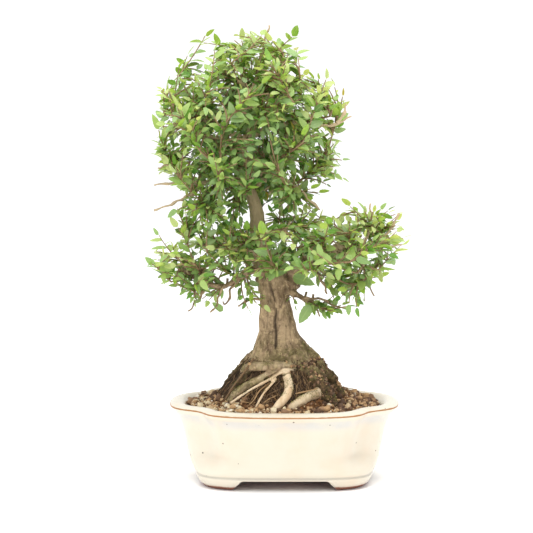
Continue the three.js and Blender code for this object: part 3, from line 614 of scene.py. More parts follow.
def grow_together(piece, voxel, rounds):
    """Fuses a piece's bodies into one skin, and softens where they meet."""
    fuse = piece.modifiers.new("fuse", "REMESH")
    fuse.mode, fuse.voxel_size, fuse.use_smooth_shade = "VOXEL", voxel * MM, True
    soften = piece.modifiers.new("soften", "SMOOTH")
    soften.iterations, soften.factor = rounds, 0.5
    fused = bpy.data.meshes.new_from_object(piece.evaluated_get(bpy.context.evaluated_depsgraph_get()))
    piece.modifiers.clear()
    piece.data = fused


def split_depth(point, split):
    """How deep a split is at a point: 1 in its middle, 0 beside it."""
    across, heights = np.transpose(split)[:, ::-1]
    if not heights[0] < point.z < heights[-1]:
        return 0
    ends = min(point.z - heights[0], heights[-1] - point.z) / 6
    wide = (1.7 + 0.8 * noise.noise(Vector((0, 0, point.z / 6)))) * min(1, ends)
    off = abs(point.x - pot_at.x - float(np.interp(point.z, heights, across)))
    return max(0, 1 - off / max(wide, 0.1)) ** 0.5


def bark_material():
    material, graph = new_material("old_elm_bark")
    stretched = graph.node("ShaderNodeMapping", Vector=graph.place(), Scale=(1.0, 1.0, 0.3)).outputs[0]
    broad = graph.noise(75.0, 5.0, 0.62, stretched)
    fine = graph.noise(480.0, 4.0, 0.7, stretched)
    spotted = graph.noise(210.0, 5.0, 0.75)
    colour = graph.mix(graph.ramp(broad, 0.34, 0.66), "64503a", "aa9272")
    for grain, low, high, strength, spots in (
        (spotted, 0.5, 0.68, 0.8, "c6ac84"),
        (spotted, 0.45, 0.33, 0.65, "46331f"),
        (fine, 0.54, 0.72, 0.4, "c9b696"),
        (fine, 0.46, 0.3, 0.4, "3f2f22"),
        # Higher up, the bark is lighter: partly the paler skin of young wood, partly painted light against
        # the crown's shade.
        (graph.height(), 0.19, 0.24, 0.7, "cbb593"),
    ):
        colour = graph.tint(graph.ramp(grain, low, high), strength, colour, spots)
    pale = graph.mix(graph.ramp(broad, 0.3, 0.7), "c7a883", "e6d3b4")
    colour = graph.mix(graph.painted("pale"), colour, pale)
    green = graph.mix(graph.ramp(fine, 0.35, 0.7), "4a4722", "8c8650")
    patches = graph.ramp(graph.noise(95.0, 4.0, 0.6), 0.36, 0.56)
    colour = graph.mix(graph.times(graph.painted("moss"), patches), colour, green)
    brown = graph.mix(graph.ramp(spotted, 0.4, 0.62), "24160a", "503820")
    colour = graph.tint(graph.painted("earth"), 0.85, colour, brown)
    # Painted shade in the bark's cracks and splits, darker where they go deeper.
    colour = graph.tint(graph.painted("crack"), 0.95, colour, "241a12")
    relief = graph.plus(graph.times(broad, 1.2), graph.times(fine, 0.6))
    graph.look(colour, graph.plus(0.72, graph.times(fine, 0.2)), relief, 0.8, 0.0014)
    graph.shader.inputs["Specular IOR Level"].default_value = 0.3
    return material


bark = bark_material()


def finder_of(points):
    """A search tree over points."""
    finder = KDTree(len(points))
    for index, point in enumerate(points):
        finder.insert(Vector(point), index)
    finder.balance()
    return finder


def root_finder():
    """A search tree over the roots' middles, with [pale share, radius] at each."""
    points, looks = [], []
    for route, radii, share in ROOTS:
        line = through(route, ROOT_STEPS)
        points.extend(Vector(point) + pot_at for point in line)
        looks.extend((share, radius) for radius in np.linspace(*radii, len(line)))
    return finder_of(points), looks


def below(height, edge):
    """1 well below an edge, fading to 0 at it."""
    top, fade = edge
    return held((top - height) / fade)


def make_wood():
    bodies = [trunk_body(), tube(through(LEADER, 8), LEADER_RADII, 14, 0.16)]
    bodies += [tube(through(route, ROOT_STEPS), radii, 12, 0.14) for route, radii, _ in ROOTS]
    bodies += [tube(through(route, LIMB_STEPS), radii, 10, 0.3) for route, radii in LIMBS[:LOW_LIMBS]]
    wood = new_object("trunk_and_roots", *joined_bodies(bodies), bark)
    grow_together(wood, WOOD_VOXEL, WOOD_SOFTENED)
    finder, looks = root_finder()
    moved, marks = [], {"crack": [], "moss": [], "pale": [], "earth": []}
    for vertex in wood.data.vertices:
        p, normal = vertex.co / MM, vertex.normal.copy()
        along = Vector((p.x, p.y, p.z * BARK_STRETCH))
        low = below(p.z, MOSS_TOP)
        age = max(YOUNG_BARK, below(p.z, OLD_BARK_TOP))
        right = p.x > pot_at.x
        ridge = noise.noise(along / 6) * 0.7 + noise.noise(along / 1.8 + Vector((4, 0, 0))) * 0.28
        knobs = abs(noise.noise(p / 8)) * 3.6 * low * (1 if p.x > pot_at.x + 6 else 0.3)
        lump = noise.noise(p / 11) * 1.2 + noise.noise(p / 4) * 0.8 * low + knobs
        crevice = 0.4 * max(0, 1 - 10 * abs(noise.noise(along / 8 + Vector((0, 9, 0))))) ** 2
        if normal.y < 0:
            crevice = max(crevice, *(split_depth(p, split) for split in SPLITS))
        _, index, far = finder.find(p)
        share, radius = looks[index]
        on_root = held((1.6 - far / (radius + 0.8)) * 2.2) if share > 0.2 else 0
        bare = 1 - 0.8 * on_root * share
        moved.append((p + normal * (ridge + lump - CRACK_DEPTH * crevice) * age * bare) * MM)
        deep = below(p.z - EARTH_WAVES * noise.noise(p / 7), EARTH_TOP)
        # How deep the bark is cracked, which the colour turns into painted shade in the cracks.
        marks["crack"].append(crevice * age * bare)
        marks["moss"].append(low * (1 - on_root * share) * (0.8 if right else 0.75))
        marks["pale"].append(on_root * share * (1 - below(p.z, SOILED_TOP)))
        marks["earth"].append(deep * held(1 - on_root * 2))
    wood.data.vertices.foreach_set("co", np.array(moved).ravel())
    wood.data.update()
    for name, values in marks.items():
        paint(wood, name, values)
    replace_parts(wood, "tree")


make_wood()


# The branchlets: thinner limbs of the upper crown, with the same bark, younger and smoother, and knobbly
# where side shoots were pruned off. Bare stubs and twigs stick out of the foliage here and there.
BRANCHLET_SIDES, BRANCHLET_KNOBS = 8, 0.35
STUB_RADII, SPUR_RADII, PRUNED_RADII = (1.4, 1.0, 0.7), (1.0, 0.8, 0.55), (1.5, 1.1, 1.2)
STUBS = [
    [(8, -18, 352), (34, -22, 350), (52, -24, 352), (64, -22, 359)],
    [(50, -24, 352), (57, -26, 362), (60, -27, 371)],
    [(-84, -10, 296), (-104, -14, 294), (-127, -16, 292)],
    [(-92, -6, 312), (-108, -10, 312), (-124, -14, 309)],
    [(-88, -12, 284), (-104, -16, 276), (-126, -18, 267)],
    [(-10, -8, 300), (12, -14, 290), (33, -18, 268)],
    [(-58, -12, 194), (-64, -16, 184), (-66, -17, 174), (-72, -18, 167)],
    [(-44, -9, 199), (-52, -12, 190), (-53, -13, 181), (-59, -14, 176), (-61, -15, 178)],
    [(-74, -12, 196), (-83, -16, 182), (-94, -18, 169)],
    [(26, -6, 214), (34, -14, 203), (42, -18, 186)],
    [(74, -8, 228), (78, -16, 206), (87, -20, 184)],
    [(28, -10, 174), (33, -13, 169), (34, -14, 164)],
    [(16, -9, 181), (40, -14, 180), (50, -16, 173), (60, -18, 172)],
    [(96, -5, 232), (108, -9, 232), (115, -10, 233)],
    [(-22, -6, 178), (-34, -12, 180), (-45, -14, 173)],
    [(78, -6, 232), (84, -12, 256), (83, -14, 274)],
    [(90, -4, 232), (104, -10, 250), (111, -12, 264)],
    [(-28, 0, 398), (-20, -6, 424), (-15, -8, 446)],
]
# Knots of old pruning, thick with short spurs, as [middle, half sizes, spurs].
KNOTS = [
    [(-90, -13, 207), (15, 8, 7), 60], [(48, -10, 226), (32, 8, 7), 60], [(-30, -8, 300), (22, 16, 14), 40],
]


def unit(v):
    """A way with a length of 1."""
    return v / np.linalg.norm(v)


def make_branchlets():
    bodies = [
        tube(through(route, LIMB_STEPS), radii, BRANCHLET_SIDES, BRANCHLET_KNOBS)
        for route, radii in LIMBS[LOW_LIMBS:]
    ]
    for route in STUBS:
        line = through(route, 8)
        shifts = [Vector((0, 0, 40 * k)) for k in range(3)]
        wander = np.array([[noise.noise(Vector(p) / 7 + shift) for shift in shifts] for p in line])
        bodies.append(tube(line + 2.2 * wander, STUB_RADII, 7, 0.7))
    for middle, reach, count in KNOTS:
        for _ in range(count):
            foot = np.array(middle) + rng.normal(0, 0.5, 3) * reach
            way = unit(rng.normal(size=3) + [0, -0.2, 0.3]) * rng.uniform(5, 12)
            spur = [foot + way * t + rng.normal(0, 0.7, 3) for t in (0, 0.3, 0.65, 1)]
            bodies.append(tube(np.array(spur), SPUR_RADII, 6, 0.7))
    for route, _ in LIMBS:
        line = through(route, LIMB_STEPS)
        for _ in range(2):
            foot = line[int(rng.integers(len(line) // 3, len(line) - 1))]
            way = unit(rng.normal(size=3) + [0, 0, 0.5])
            way *= rng.uniform(5, 13)
            stub = [foot + way * t + [0, 0, 0.8 * t * t] for t in (0, 0.35, 0.7, 1)]
            bodies.append(tube(np.array(stub), PRUNED_RADII, 6, 0.3))
    new_object("branchlets", *joined_bodies(bodies), bark)


make_branchlets()


# The fine roots: a brown, fibrous mat of living wood that grows down from the flare and over the soil, with
# a few paler, stiffer ones that stand off it.
FLARE_TOP, FLARE_FOOT = (124, 28, 24), (78, 68, 54)
MAT_STRANDS, SOIL_STRANDS, STRAND_STEPS, STRAND_SIDES = 800, 240, 8, 4
# Strands of the mat: the share in front and the angles there, then where they start and how long they are.
FRONT_SHARE, FRONT_ANGLES = 0.6, (-2.9, -0.1)
MAT_STARTS, MAT_LENGTHS, MAT_STEEPNESS, MAT_FOOT = (84, 122), (12, 46), 0.75, 76
MAT_RADII, MAT_SHARES = [0.22, 0.32, 0.5], [0.5, 0.36, 0.14]
SOIL_STRAND_RADII = (0.2, 0.32, 0.16)
# Stiffer roots, as [route, radius].
STIFF_ROOTS = [
    [[(-30, -27, 124), (-40, -31, 110), (-50, -33, 97), (-58, -34, 84)], 1.1],
    [[(-14, -38, 102), (-24, -43, 95), (-30, -47, 86), (-40, -50, 77)], 0.8],
    [[(-4, -44, 92), (-16, -48, 87), (-28, -51, 78)], 0.7],
    [[(2, -46, 90), (-8, -50, 84), (-14, -54, 77)], 0.6],
    [[(10, -44, 92), (22, -45, 95), (32, -43, 97)], 0.7],
    [[(-34, -40, 92), (-44, -42, 84), (-56, -42, 78)], 0.6],
    [[(14, -50, 84), (24, -53, 80), (40, -55, 78)], 0.6],
]


def fine_root_material():
    material, graph = new_material("fine_root_skin")
    colour = graph.mix(graph.painted("tone"), "2a1a0b", "c9a272")
    colour = graph.tint(graph.noise(500.0), 0.5, colour, "3e2917")
    graph.look(colour, 0.85, graph.noise(1500.0), 0.5, 0.0004)
    return material


def flare_reach(height):
    """Half width and half depth of the root flare at a height."""
    (top, *narrow), (foot, *wide) = FLARE_TOP, FLARE_FOOT
    share = held((top - height) / (top - foot))
    return np.array(narrow) * (1 - share) + np.array(wide) * share


def mat_strand(k):
    """One fine root of the mat, down the flare, as a line and its thickness."""
    front = rng.random() < FRONT_SHARE
    angle = rng.uniform(*FRONT_ANGLES) if front else rng.uniform(0, 2 * math.pi)
    height, length = rng.uniform(*MAT_STARTS), rng.uniform(*MAT_LENGTHS)
    thick = float(rng.choice(MAT_RADII, p=MAT_SHARES))
    drift = rng.normal(0, 0.2)
    line = []
    for t in np.linspace(0, 1, STRAND_STEPS):
        level = height - length * t * MAT_STEEPNESS
        turn = angle + drift * t + 0.12 * noise.noise(Vector((k, 3.1 * t, 0)))
        lift = 0.9 + 1.6 * noise.noise(Vector((k * 1.7, 2.2 * t, 4))) - 1.2 * (t > 0.9)
        wide, deep = flare_reach(level) + lift
        line.append((wide * math.cos(turn) - 4, deep * math.sin(turn), max(level, MAT_FOOT)))
    return np.array(line), thick


def soil_strand(k):
    """One fine root that lies over the soil."""
    angle, share = rng.uniform(0, 2 * math.pi), rng.uniform(0.05, 0.5)
    reach, way = rng.uniform(4, 16), rng.uniform(0, 2 * math.pi)
    x, y, z = soil_point(angle, share)
    line = []
    for t in np.linspace(-0.5, 0.5, STRAND_STEPS):
        bend = 3 * noise.noise(Vector((k * 2.3, 3 * t, 8)))
        across, back = reach * t * math.cos(way) + bend, reach * t * math.sin(way) - bend
        line.append((x + across, y + back, z + 0.7 + 0.9 * math.cos(math.pi * t)))
    return np.array(line)


def make_fine_roots():
    bodies, tones = [], []
    for k in range(MAT_STRANDS):
        line, thick = mat_strand(k)
        bodies.append(tube(line, (thick, thick * 0.9, thick * 0.5), STRAND_SIDES, 0))
        tones.append(rng.beta(0.6, 2.6))
    for k in range(SOIL_STRANDS):
        bodies.append(tube(soil_strand(k), SOIL_STRAND_RADII, STRAND_SIDES, 0))
        tones.append(rng.beta(1.4, 1.6))
    for route, thick in STIFF_ROOTS:
        bodies.append(tube(through(route, 8), (thick, 0.8 * thick, 0.6 * thick), 7, 0.3))
        tones.append(0.75 if thick < 0.9 else 0.3)
    toned_bodies("fine_roots", bodies, fine_root_material(), tones)


make_fine_roots()


# The moss: short olive-green tufts, rooted in the rough bark on the shaded flare of the roots and thickest
# on its right.
MOSS_TUFTS, MOSS_FROM, MOSS_TO = 5200, 84, 138


def moss_material():
    material, graph = new_material("cushion_moss")
    colour = graph.mix(graph.painted("tone"), "3c4219", "8a8c3c")
    colour = graph.tint(graph.noise(700.0), 0.4, colour, "5c4a2a")
    graph.look(colour, 0.9, graph.noise(2500.0), 0.3, 0.0002)
    return material


def random_skin():
    """A random vertex of the trunk's and roots' skin, with its place in millimetres."""
    vertices = bpy.data.objects["trunk_and_roots"].data.vertices
    vertex = vertices[int(rng.integers(len(vertices)))]
    return vertex, vertex.co / MM


def make_moss():
    tuft = np.array([[-0.5, -0.3, 0], [0.5, -0.3, 0], [0, 0.55, 0], [0.12, 0.05, 1.0]])
    faces = [(0, 1, 3), (1, 2, 3), (2, 0, 3), (0, 2, 1)]
    tufts, tones = [], []
    while len(tufts) < MOSS_TUFTS:
        vertex, p = random_skin()
        normal = vertex.normal
        patch = noise.noise(p / 9) + 0.25 * (p.x > pot_at.x) - 0.004 * (p.z - MOSS_FROM)
        if not MOSS_FROM < p.z < MOSS_TO or normal.z < -0.2 or patch < 0.12:
            continue
        up = normal + Vector((0, 0, 0.4)) + Vector(rng.normal(0, 0.35, 3))
        size = rng.uniform(0.4, 0.8)
        stretch = np.diag([size, size, rng.uniform(0.7, 1.5)])
        upright = np.array(up.to_track_quat("Z", "Y").to_matrix())
        tufts.append((tuft @ (upright @ stretch).T + (p - normal * 0.2 - pot_at), faces))
        tones.append(rng.uniform(0, 1))
    toned_bodies("moss", tufts, moss_material(), tones)


make_moss()


# The crumbs: bits of earth, bark and grit that are caught in the rough bark low on the flare, mostly on its
# right, between the moss and the roots.
CRUMBS, CRUMBS_FROM, CRUMBS_TO, CRUMBS_LEFT = 1150, 78, 122, -48
CRUMB_SIZES, CRUMB_SHARES = [0.9, 1.5, 2.3, 3.4], [0.4, 0.36, 0.18, 0.06]
PALEST_CRUMB = 0.6


def make_crumbs():
    pale = bpy.data.objects["trunk_and_roots"].data.attributes["pale"].data
    shapes, stones, tones = stone_shapes(6), [], []
    while len(stones) < CRUMBS:
        vertex, p = random_skin()
        normal, across = vertex.normal, p.x - pot_at.x
        if not CRUMBS_FROM < p.z < CRUMBS_TO or across < CRUMBS_LEFT or normal.z < -0.1:
            continue
        if pale[vertex.index].value > 0.3:
            continue
        if across < 6 and rng.random() < 0.85 or noise.noise(p / 10 + Vector((3, 0, 0))) < -0.12:
            continue
        size = float(rng.choice(CRUMB_SIZES, p=CRUMB_SHARES))
        middle = p + normal * 0.1 * size - pot_at
        body, faces = shapes[int(rng.integers(STONE_SHAPES))]
        stones.append((body @ turned(size * rng.uniform(0.7, 1.3, 3)).T + middle, faces))
        tones.append(min(PALEST_CRUMB, rng.beta(0.8, 2.6)))
    toned_bodies("crumbs", stones, grit_look, tones)


make_crumbs()


# The foliage: leafy shoots that grow from the limbs, each with small, toothed leaves right and left in turn.
# Old shoots carry side twigs with more leaves, and here and there a bare one. New leaves are lighter, and the
# leaves' tones also hold painted light on the crown's tops and sides and painted shade deep in its pads.
SHOOT_LENGTH = 46
# The pads of the crown, as [middle, half sizes, sprays tried, lowest share that carries twigs, climb].
PADS = [
    [(-36, 0, 350), (87, 76, 88), 40, -0.9, 0.6],
    [(-78, -2, 212), (49, 46, 28), 12, -0.9, 0.2],
    [(55, -2, 228), (52, 52, 34), 16, -0.95, 0.25],
    [(-8, -36, 230), (50, 34, 28), 11, -0.7, 0.2],
    [(-6, 36, 230), (52, 34, 28), 11, -0.7, 0.2],
]
# Looser growth between the pads and under them, where only twigs grow, as [middle, half sizes].
LOOSE_PADS = [
    [(-66, -14, 262), (44, 34, 24)], [(4, -14, 262), (26, 34, 16)], [(-26, -42, 226), (46, 14, 20)],
    [(-84, -12, 190), (20, 24, 14)], [(40, -12, 186), (42, 24, 20)], [(88, -4, 246), (30, 34, 22)],
    [(-30, -14, 176), (13, 10, 13)], [(-112, -6, 214), (18, 22, 16)],
]
PAD_POWER = 2.3
SPRAY_DEPTH, SPRAY_LEAN, SPRAY_RISE = (0.88, 1), 0.5, 0.15
TIP_SIDEWAYS, TIP_OUTWARD = (-0.25, 0.25), (-0.3, 0.05)
RANDOM_RANGE = 2**32
# Twigs are tried all through a box round the crown: its lowest corner, and its size.
TWIGS, CROWN_CORNER, CROWN_SIZE = 1640, (-136, -86, 164), (264, 172, 282)
# A twig grows from one of the nearest pieces of wood, at best this far away, and rather in its way on.
NEAREST_WOOD, BEST_REACH, TURN_PRICE = 24, 17, 14
TWIG_BEND, TWIG_STEPS, SHOOT_STEPS = 0.45, 6, 13
SHOOT_RADII, TWIG_RADII, TWIG_REACH, BARE_TWIGS = (1.3, 0.95, 0.6, 0.35), (0.85, 0.65, 0.4), (5, 58), 0.05
# Leaves on shoots and twigs: their lengths and the gap between them, and how light the shoots' leaves are,
# for new growth and for painted light on the pads' faces. A twig's leaves grow near its tip.
SHOOT_LEAF, SHOOT_GAP, SHOOT_FRESH_AND_LIT = (11.5, 17.5), 4.9, 0.75
TWIG_LEAF, TWIG_GAP, LEAFY_STRETCH = (8, 12.5), 4.4, 27
# A leaf's blade is turned up and out, with some scatter, and leaves its twig at this angle, on a short stalk.
FACE_OUT, FACE_UP, FACE_SCATTER = 0.3, 0.7, 0.42
LEAF_ANGLES, LEAF_STALK, LEAF_WIDTHS = (0.75, 1.15), 0.8, (0.44, 0.58)
FOLDS, DROOPS, CURL_SCATTER = (0.1, 0.34), (0.0, 0.3), 0.12
# Tones run from 0, dark, to 1, light, and above that a leaf is yellow. Old leaves are dark and new ones
# light, and the tones are also painted shade deep in the pads and painted light on their tops and sides.
SHADED_OLD_TONE, FRESH_AND_LIT_TONE, TIP_TONE, TONE_SCATTER = 0.1, 0.45, 0.34, 0.18
YELLOWED, YELLOWED_TONE, YELLOW_FROM = 0.003, 1.3, 1.15
# A leaf's blade: half its width at each share of its length, with teeth that point forward.
LEAF_ROWS = [0, 0.06, 0.18, 0.3, 0.36, 0.48, 0.54, 0.66, 0.73, 0.86, 1]
LEAF_HALF = [0.06, 0.34, 0.8, 1.0, 0.92, 1.0, 0.87, 0.87, 0.7, 0.5, 0.02]
LEAF_COLUMNS = [-1, 0, 1]
# Leaves that grew larger than the rest, as [foot, way on, length].
BIG_LEAVES = [
    [(25, -18, 175), (-0.5, -0.3, -0.8), 21], [(4, -24, 216), (-0.6, -0.2, -0.5), 19],
    [(-60, -16, 169), (-0.7, -0.2, 0.6), 14], [(8, -24, 203), (0.9, -0.2, -0.2), 22],
    [(-36, -18, 352), (0.3, -0.5, 0.8), 20], [(-30, -30, 340), (-0.1, -0.6, -0.8), 19],
]
BIG_LEAF_FACE, BIG_LEAF_WIDTH, BIG_LEAF_TONE = np.array([0.2, -0.9, 0.35]), 0.52, 0.25


class Draws:
    """Repeatable random numbers, started from a spray's number, so that its shoot grows as in the frame."""

    def __init__(self, number):
        self.state = number * 2654435761 % RANDOM_RANGE

    def between(self, low, high):
        self.state = (self.state * 1664525 + 1013904223) % RANDOM_RANGE
        return low + (high - low) * self.state / RANDOM_RANGE


def pad_share(pad, point):
    """How far out a point is on a pad: 1 on its face, less inside."""
    centre, radii = np.array(pad[0], float), np.array(pad[1], float)
    return float((np.abs((point - centre) / radii) ** PAD_POWER).sum() ** (1 / PAD_POWER))


def spray_shoots():
    """The shoots of the sprays, by node name: the shoot's line, and the way out of the pad."""
    golden = math.pi * (3 - math.sqrt(5))
    shoots, number = {}, 0
    for p, pad in enumerate(PADS):
        centre, radii, count, _, climb = pad
        centre, radii = np.array(centre, float), np.array(radii, float)
        for i in range(count):
            number += 1
            draws = Draws(number)
            rise = 1 - (2 * i + 1) / count
            turn = i * golden + 1.7 * p
            flat = math.sqrt(1 - rise * rise)
            face = np.array([flat * math.cos(turn), flat * math.sin(turn), rise]) * radii
            face = face * (draws.between(*SPRAY_DEPTH) / pad_share(pad, face + centre))
            outward = unit(face / radii)
            lean = [draws.between(-SPRAY_LEAN, SPRAY_LEAN) for _ in range(2)]
            ahead = np.array([*lean, climb])
            ahead = unit(ahead + outward * (SPRAY_RISE - ahead @ outward))
            middle = face + centre
            bend = middle - ahead * SHOOT_LENGTH / 2
            tip = middle + ahead * SHOOT_LENGTH / 2
            tip = tip + unit(np.cross(outward, ahead)) * draws.between(*TIP_SIDEWAYS) * SHOOT_LENGTH
            tip = tip + outward * draws.between(*TIP_OUTWARD) * SHOOT_LENGTH
            name = f"spray_{number:02d}"
            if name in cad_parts:
                shoots[name] = (curve(bend, middle, tip, SHOOT_STEPS), outward)
    return shoots


def curve(start, bend, end, steps):
    """A line from start to end that bends towards a third point."""
    t = np.linspace(0, 1, steps)[:, None]
    return (1 - t) ** 2 * start + 2 * t * (1 - t) * bend + t**2 * end


def leaf_template():
    """A leaf's points as (share of length, share across, half width there), and its faces."""
    grid = [(u, v, w) for u, w in zip(LEAF_ROWS, LEAF_HALF) for v in LEAF_COLUMNS]
    wide = len(LEAF_COLUMNS)
    corners = [r * wide + c for r in range(len(LEAF_ROWS) - 1) for c in range(wide - 1)]
    return np.array(grid), np.array([(a, a + 1, a + wide + 1, a + wide) for a in corners])


leaf_grid, leaf_faces = leaf_template()


class Foliage:
    """The twigs and leaves of one piece, gathered and then made into its mesh."""

    def __init__(self):
        self.wood, self.leaves = [], []

    def twig(self, line, radii):
        self.wood.append(tube(line, radii, 4, 0.25))

    def leaf(self, foot, along, face, length, width, tone):
        fold, droop, curl = rng.uniform(*FOLDS), rng.uniform(*DROOPS), rng.normal(0, CURL_SCATTER)
        self.leaves.append((foot, along, face, length, width, fold, droop, curl, tone))

    def leaf_points(self):
        """All leaves' points at once."""
        columns = [np.array(c, float) for c in zip(*self.leaves)]
        foot, along, face = (c[:, None, :] for c in columns[:3])
        length, width, fold, droop, curl, _ = (c[:, None] for c in columns[3:])
        u, v, half = (leaf_grid[None, :, k] for k in range(3))
        side = v * half * width / 2
        ahead = length * u - 0.16 * np.abs(side)
        lift = fold * np.abs(side) - droop * length * u**2 + curl * side * u
        ways = ((along, ahead), (np.cross(face, along), side), (face, lift))
        return foot + sum(way * reach[..., None] for way, reach in ways)

    def make(self, name):
        points, faces = joined_bodies(self.wood)
        start, woody = len(points), len(faces)
        blades = self.leaf_points()
        count, each = blades.shape[:2]
        offsets = start + each * np.arange(count)
        blade_faces = (leaf_faces[None] + offsets[:, None, None]).reshape(-1, 4)
        points = np.concatenate([np.array(points), blades.reshape(-1, 3)])
        piece = new_object(name, points, faces + [tuple(f) for f in blade_faces.tolist()], twig_look)
        piece.data.materials.append(leaf_look)
        piece.data.polygons.foreach_set("material_index", [0] * woody + [1] * len(blade_faces))
        marks = {
            "tone": np.repeat([leaf[-1] for leaf in self.leaves], each),
            "across": np.tile(leaf_grid[:, 1], count),
            "along": np.tile(leaf_grid[:, 0], count),
        }
        for mark, values in marks.items():
            paint(piece, mark, np.concatenate([np.zeros(start), values]))
        return piece


def leaf_material():
    material, graph = new_material("elm_leaf")
    tone, along = graph.painted("tone"), graph.painted("along")
    beside = graph.math("ABSOLUTE", graph.painted("across"))
    patch = graph.minus(graph.noise(260.0), 0.5)
    # Painted light and shade come in with the tone: leaves lit on the pads' outsides are lighter, those deep
    # inside darker.
    shade = graph.plus(tone, graph.times(patch, 0.35))
    colour = "264c1f"
    for low, high, next_colour in ((0.0, 0.45, "5a9639"), (0.38, 0.68, "a2c24c"), (0.68, 1.0, "d0d87a")):
        colour = graph.mix(graph.ramp(shade, low, high), colour, next_colour)
    colour = graph.mix(graph.math("GREATER_THAN", tone, YELLOW_FROM), colour, "c9a94c")
    rib = graph.flip(graph.ramp(beside, 0.03, 0.13))
    wave = graph.minus(graph.times(along, 8.0), graph.times(beside, 2.6))
    ripple = graph.math("ABSOLUTE", graph.minus(graph.math("FRACT", wave), 0.5))
    side_vein = graph.times(graph.flip(graph.ramp(ripple, 0.02, 0.14)), 0.5)
    colour = graph.tint(graph.math("MAXIMUM", rib, side_vein), 0.35, colour, "b4cc7e")
    back = graph.node("ShaderNodeNewGeometry").outputs["Backfacing"]
    colour = graph.tint(back, 0.5, colour, "a9bf85")
    relief = graph.minus(graph.times(ripple, 0.7), graph.times(rib, 0.6))
    graph.look(colour, 0.3, relief, 0.4, 0.0005)
    glow = graph.node("ShaderNodeBsdfTranslucent", Color=graph.mix(0.5, colour, "b2c83c"))
    both = graph.node("ShaderNodeMixShader", Fac=0.3)
    graph.put(both.inputs[1], graph.shader.outputs[0])
    graph.put(both.inputs[2], glow.outputs[0])
    graph.put(graph.tree.nodes["Material Output"].inputs["Surface"], both.outputs[0])
    return material


def twig_material():
    material, graph = new_material("young_twig")
    colour = graph.mix(graph.noise(260.0, 4.0), "5a432c", "a88a63")
    lenticels = graph.group(mottle, Scale=1200.0, Low=0.6, High=0.7)
    colour = graph.tint(lenticels, 0.7, colour, "c9ae86")
    graph.look(colour, 0.65, graph.noise(1600.0), 0.4, 0.0004)
    return material


leaf_look, twig_look = leaf_material(), twig_material()


def grow_leaves(foliage, line, outward, from_share, step, size, fresh_and_lit):
    """Grows leaves along a line, right and left in turn, with one at its tip."""
    lengths = np.concatenate([[0], np.cumsum(np.linalg.norm(np.diff(line, axis=0), axis=1))])
    total = lengths[-1]
    count = max(2, int(total * (1 - from_share) / step) + 1)
    hand = 1 if rng.random() < 0.5 else -1
    for i in range(count):
        last = i == count - 1
        at = total if last else total * from_share + i * step
        foot = np.array([np.interp(at, lengths, line[:, k]) for k in range(3)])
        k = min(len(line) - 2, int(np.searchsorted(lengths, at, side="right") - 1))
        ahead = unit(line[k + 1] - line[k])
        face = unit(FACE_OUT * outward + [0, 0, FACE_UP] + rng.normal(0, FACE_SCATTER, 3))
        left = unit(np.cross(face, ahead))
        turn = rng.normal(0, 0.2) if last else hand * rng.uniform(*LEAF_ANGLES)
        hand = -hand
        along = unit(ahead * math.cos(turn) + left * math.sin(turn) + face * rng.normal(0.05, 0.16))
        face = unit(face - along * (face @ along))
        length = rng.uniform(*size) * (1 - 0.12 * at / total)
        # A leaf's tone: new growth and painted light make it lighter, towards the tip too, and painted shade
        # deep in a pad leaves it dark.
        tone = SHADED_OLD_TONE + FRESH_AND_LIT_TONE * fresh_and_lit + TIP_TONE * fresh_and_lit * at / total + rng.normal(0, TONE_SCATTER)
        tone = YELLOWED_TONE if rng.random() < YELLOWED else min(tone, 1.0)
        width = length * rng.uniform(*LEAF_WIDTHS)
        foliage.leaf(foot + along * LEAF_STALK, along, face, length, width, tone)


def wood_lines():
    """Points along the leader and the limbs, with the way on, as roots for stems and twigs."""
    rows = []
    for route in [LEADER, *(limb[0] for limb in LIMBS)]:
        line = through(route, LIMB_STEPS)
        ahead = np.gradient(line, axis=0)
        rows.extend((line[k], unit(ahead[k])) for k in range(len(line) // 4, len(line)))
    return rows


wood_rows = wood_lines()
wood_finder = finder_of([point for point, _ in wood_rows])


def stem_foot(name):
    """Where a spray's stem starts: the corner of its node that is nearest to the wood."""
    corners = [np.array(vertex.co) / MM - pot_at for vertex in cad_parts[name].data.vertices]
    return min(corners, key=lambda corner: wood_finder.find(Vector(corner))[2])


def left_bare(point, share, k):
    """Whether a place carries no twigs: over the crown's shoulders, before the leader, the trunk's top and
    the left limb, and at the crown's lower right, where every other one was pruned."""
    x, y, z = point
    over_shoulder = share > 0.7 and z > 396 and abs(x + 30) > 54 - 0.9 * (z - 396)
    before_leader = abs(x + 24) < 15 and y < 10 and 254 < z < 298
    before_trunk = abs(x - 10) < 26 and y < 10 and 176 < z < 214
    under_limb = -72 < x < -22 and z < 208 and not (x > -42 and z < 190)
    pruned = 28 < x < 50 and 296 < z < 322 and k % 2
    return over_shoulder or before_leader or before_trunk or under_limb or pruned


def twig_targets():
    """Places for the tips of side twigs, spread evenly through the pads, denser towards their faces, with
    bays and tufts along their outline. Each comes with its pad and its share of the way out."""
    found, k = [], 0
    while len(found) < TWIGS:
        k += 1
        point = np.array([(k * 0.8191725134) % 1, (k * 0.6710436067) % 1, (k * 0.5497004779) % 1])
        point = CROWN_CORNER + point * CROWN_SIZE
        shares = [pad_share(pad, point) for pad in PADS]
        best = int(np.argmin(shares))
        middle, size, _, lowest, _ = PADS[best]
        tuft = noise.noise(Vector(point) / 34)
        inside = 0.3 < shares[best] < 0.96 + 0.34 * tuft and (point[2] - middle[2]) / size[2] > lowest
        loose = tuft > -0.3 and min(pad_share(pad, point) for pad in LOOSE_PADS) < 1
        if not inside and not loose:
            continue
        if inside and rng.random() > 0.3 + 0.7 * shares[best] ** 2:
            continue
        if not left_bare(point, shares[0], k):
            found.append((point, PADS[best], shares[best]))
    return found


def best_anchor(target, rows, finder):
    """The number of the row that a twig to a target grows from."""

    def price(found):
        _, index, gap = found
        point, way = rows[index]
        gap = max(gap, 1)
        return abs(gap - BEST_REACH) + TURN_PRICE * (1 - way @ (target - point) / gap)

    return min(finder.find_n(Vector(target), NEAREST_WOOD), key=price)[1]


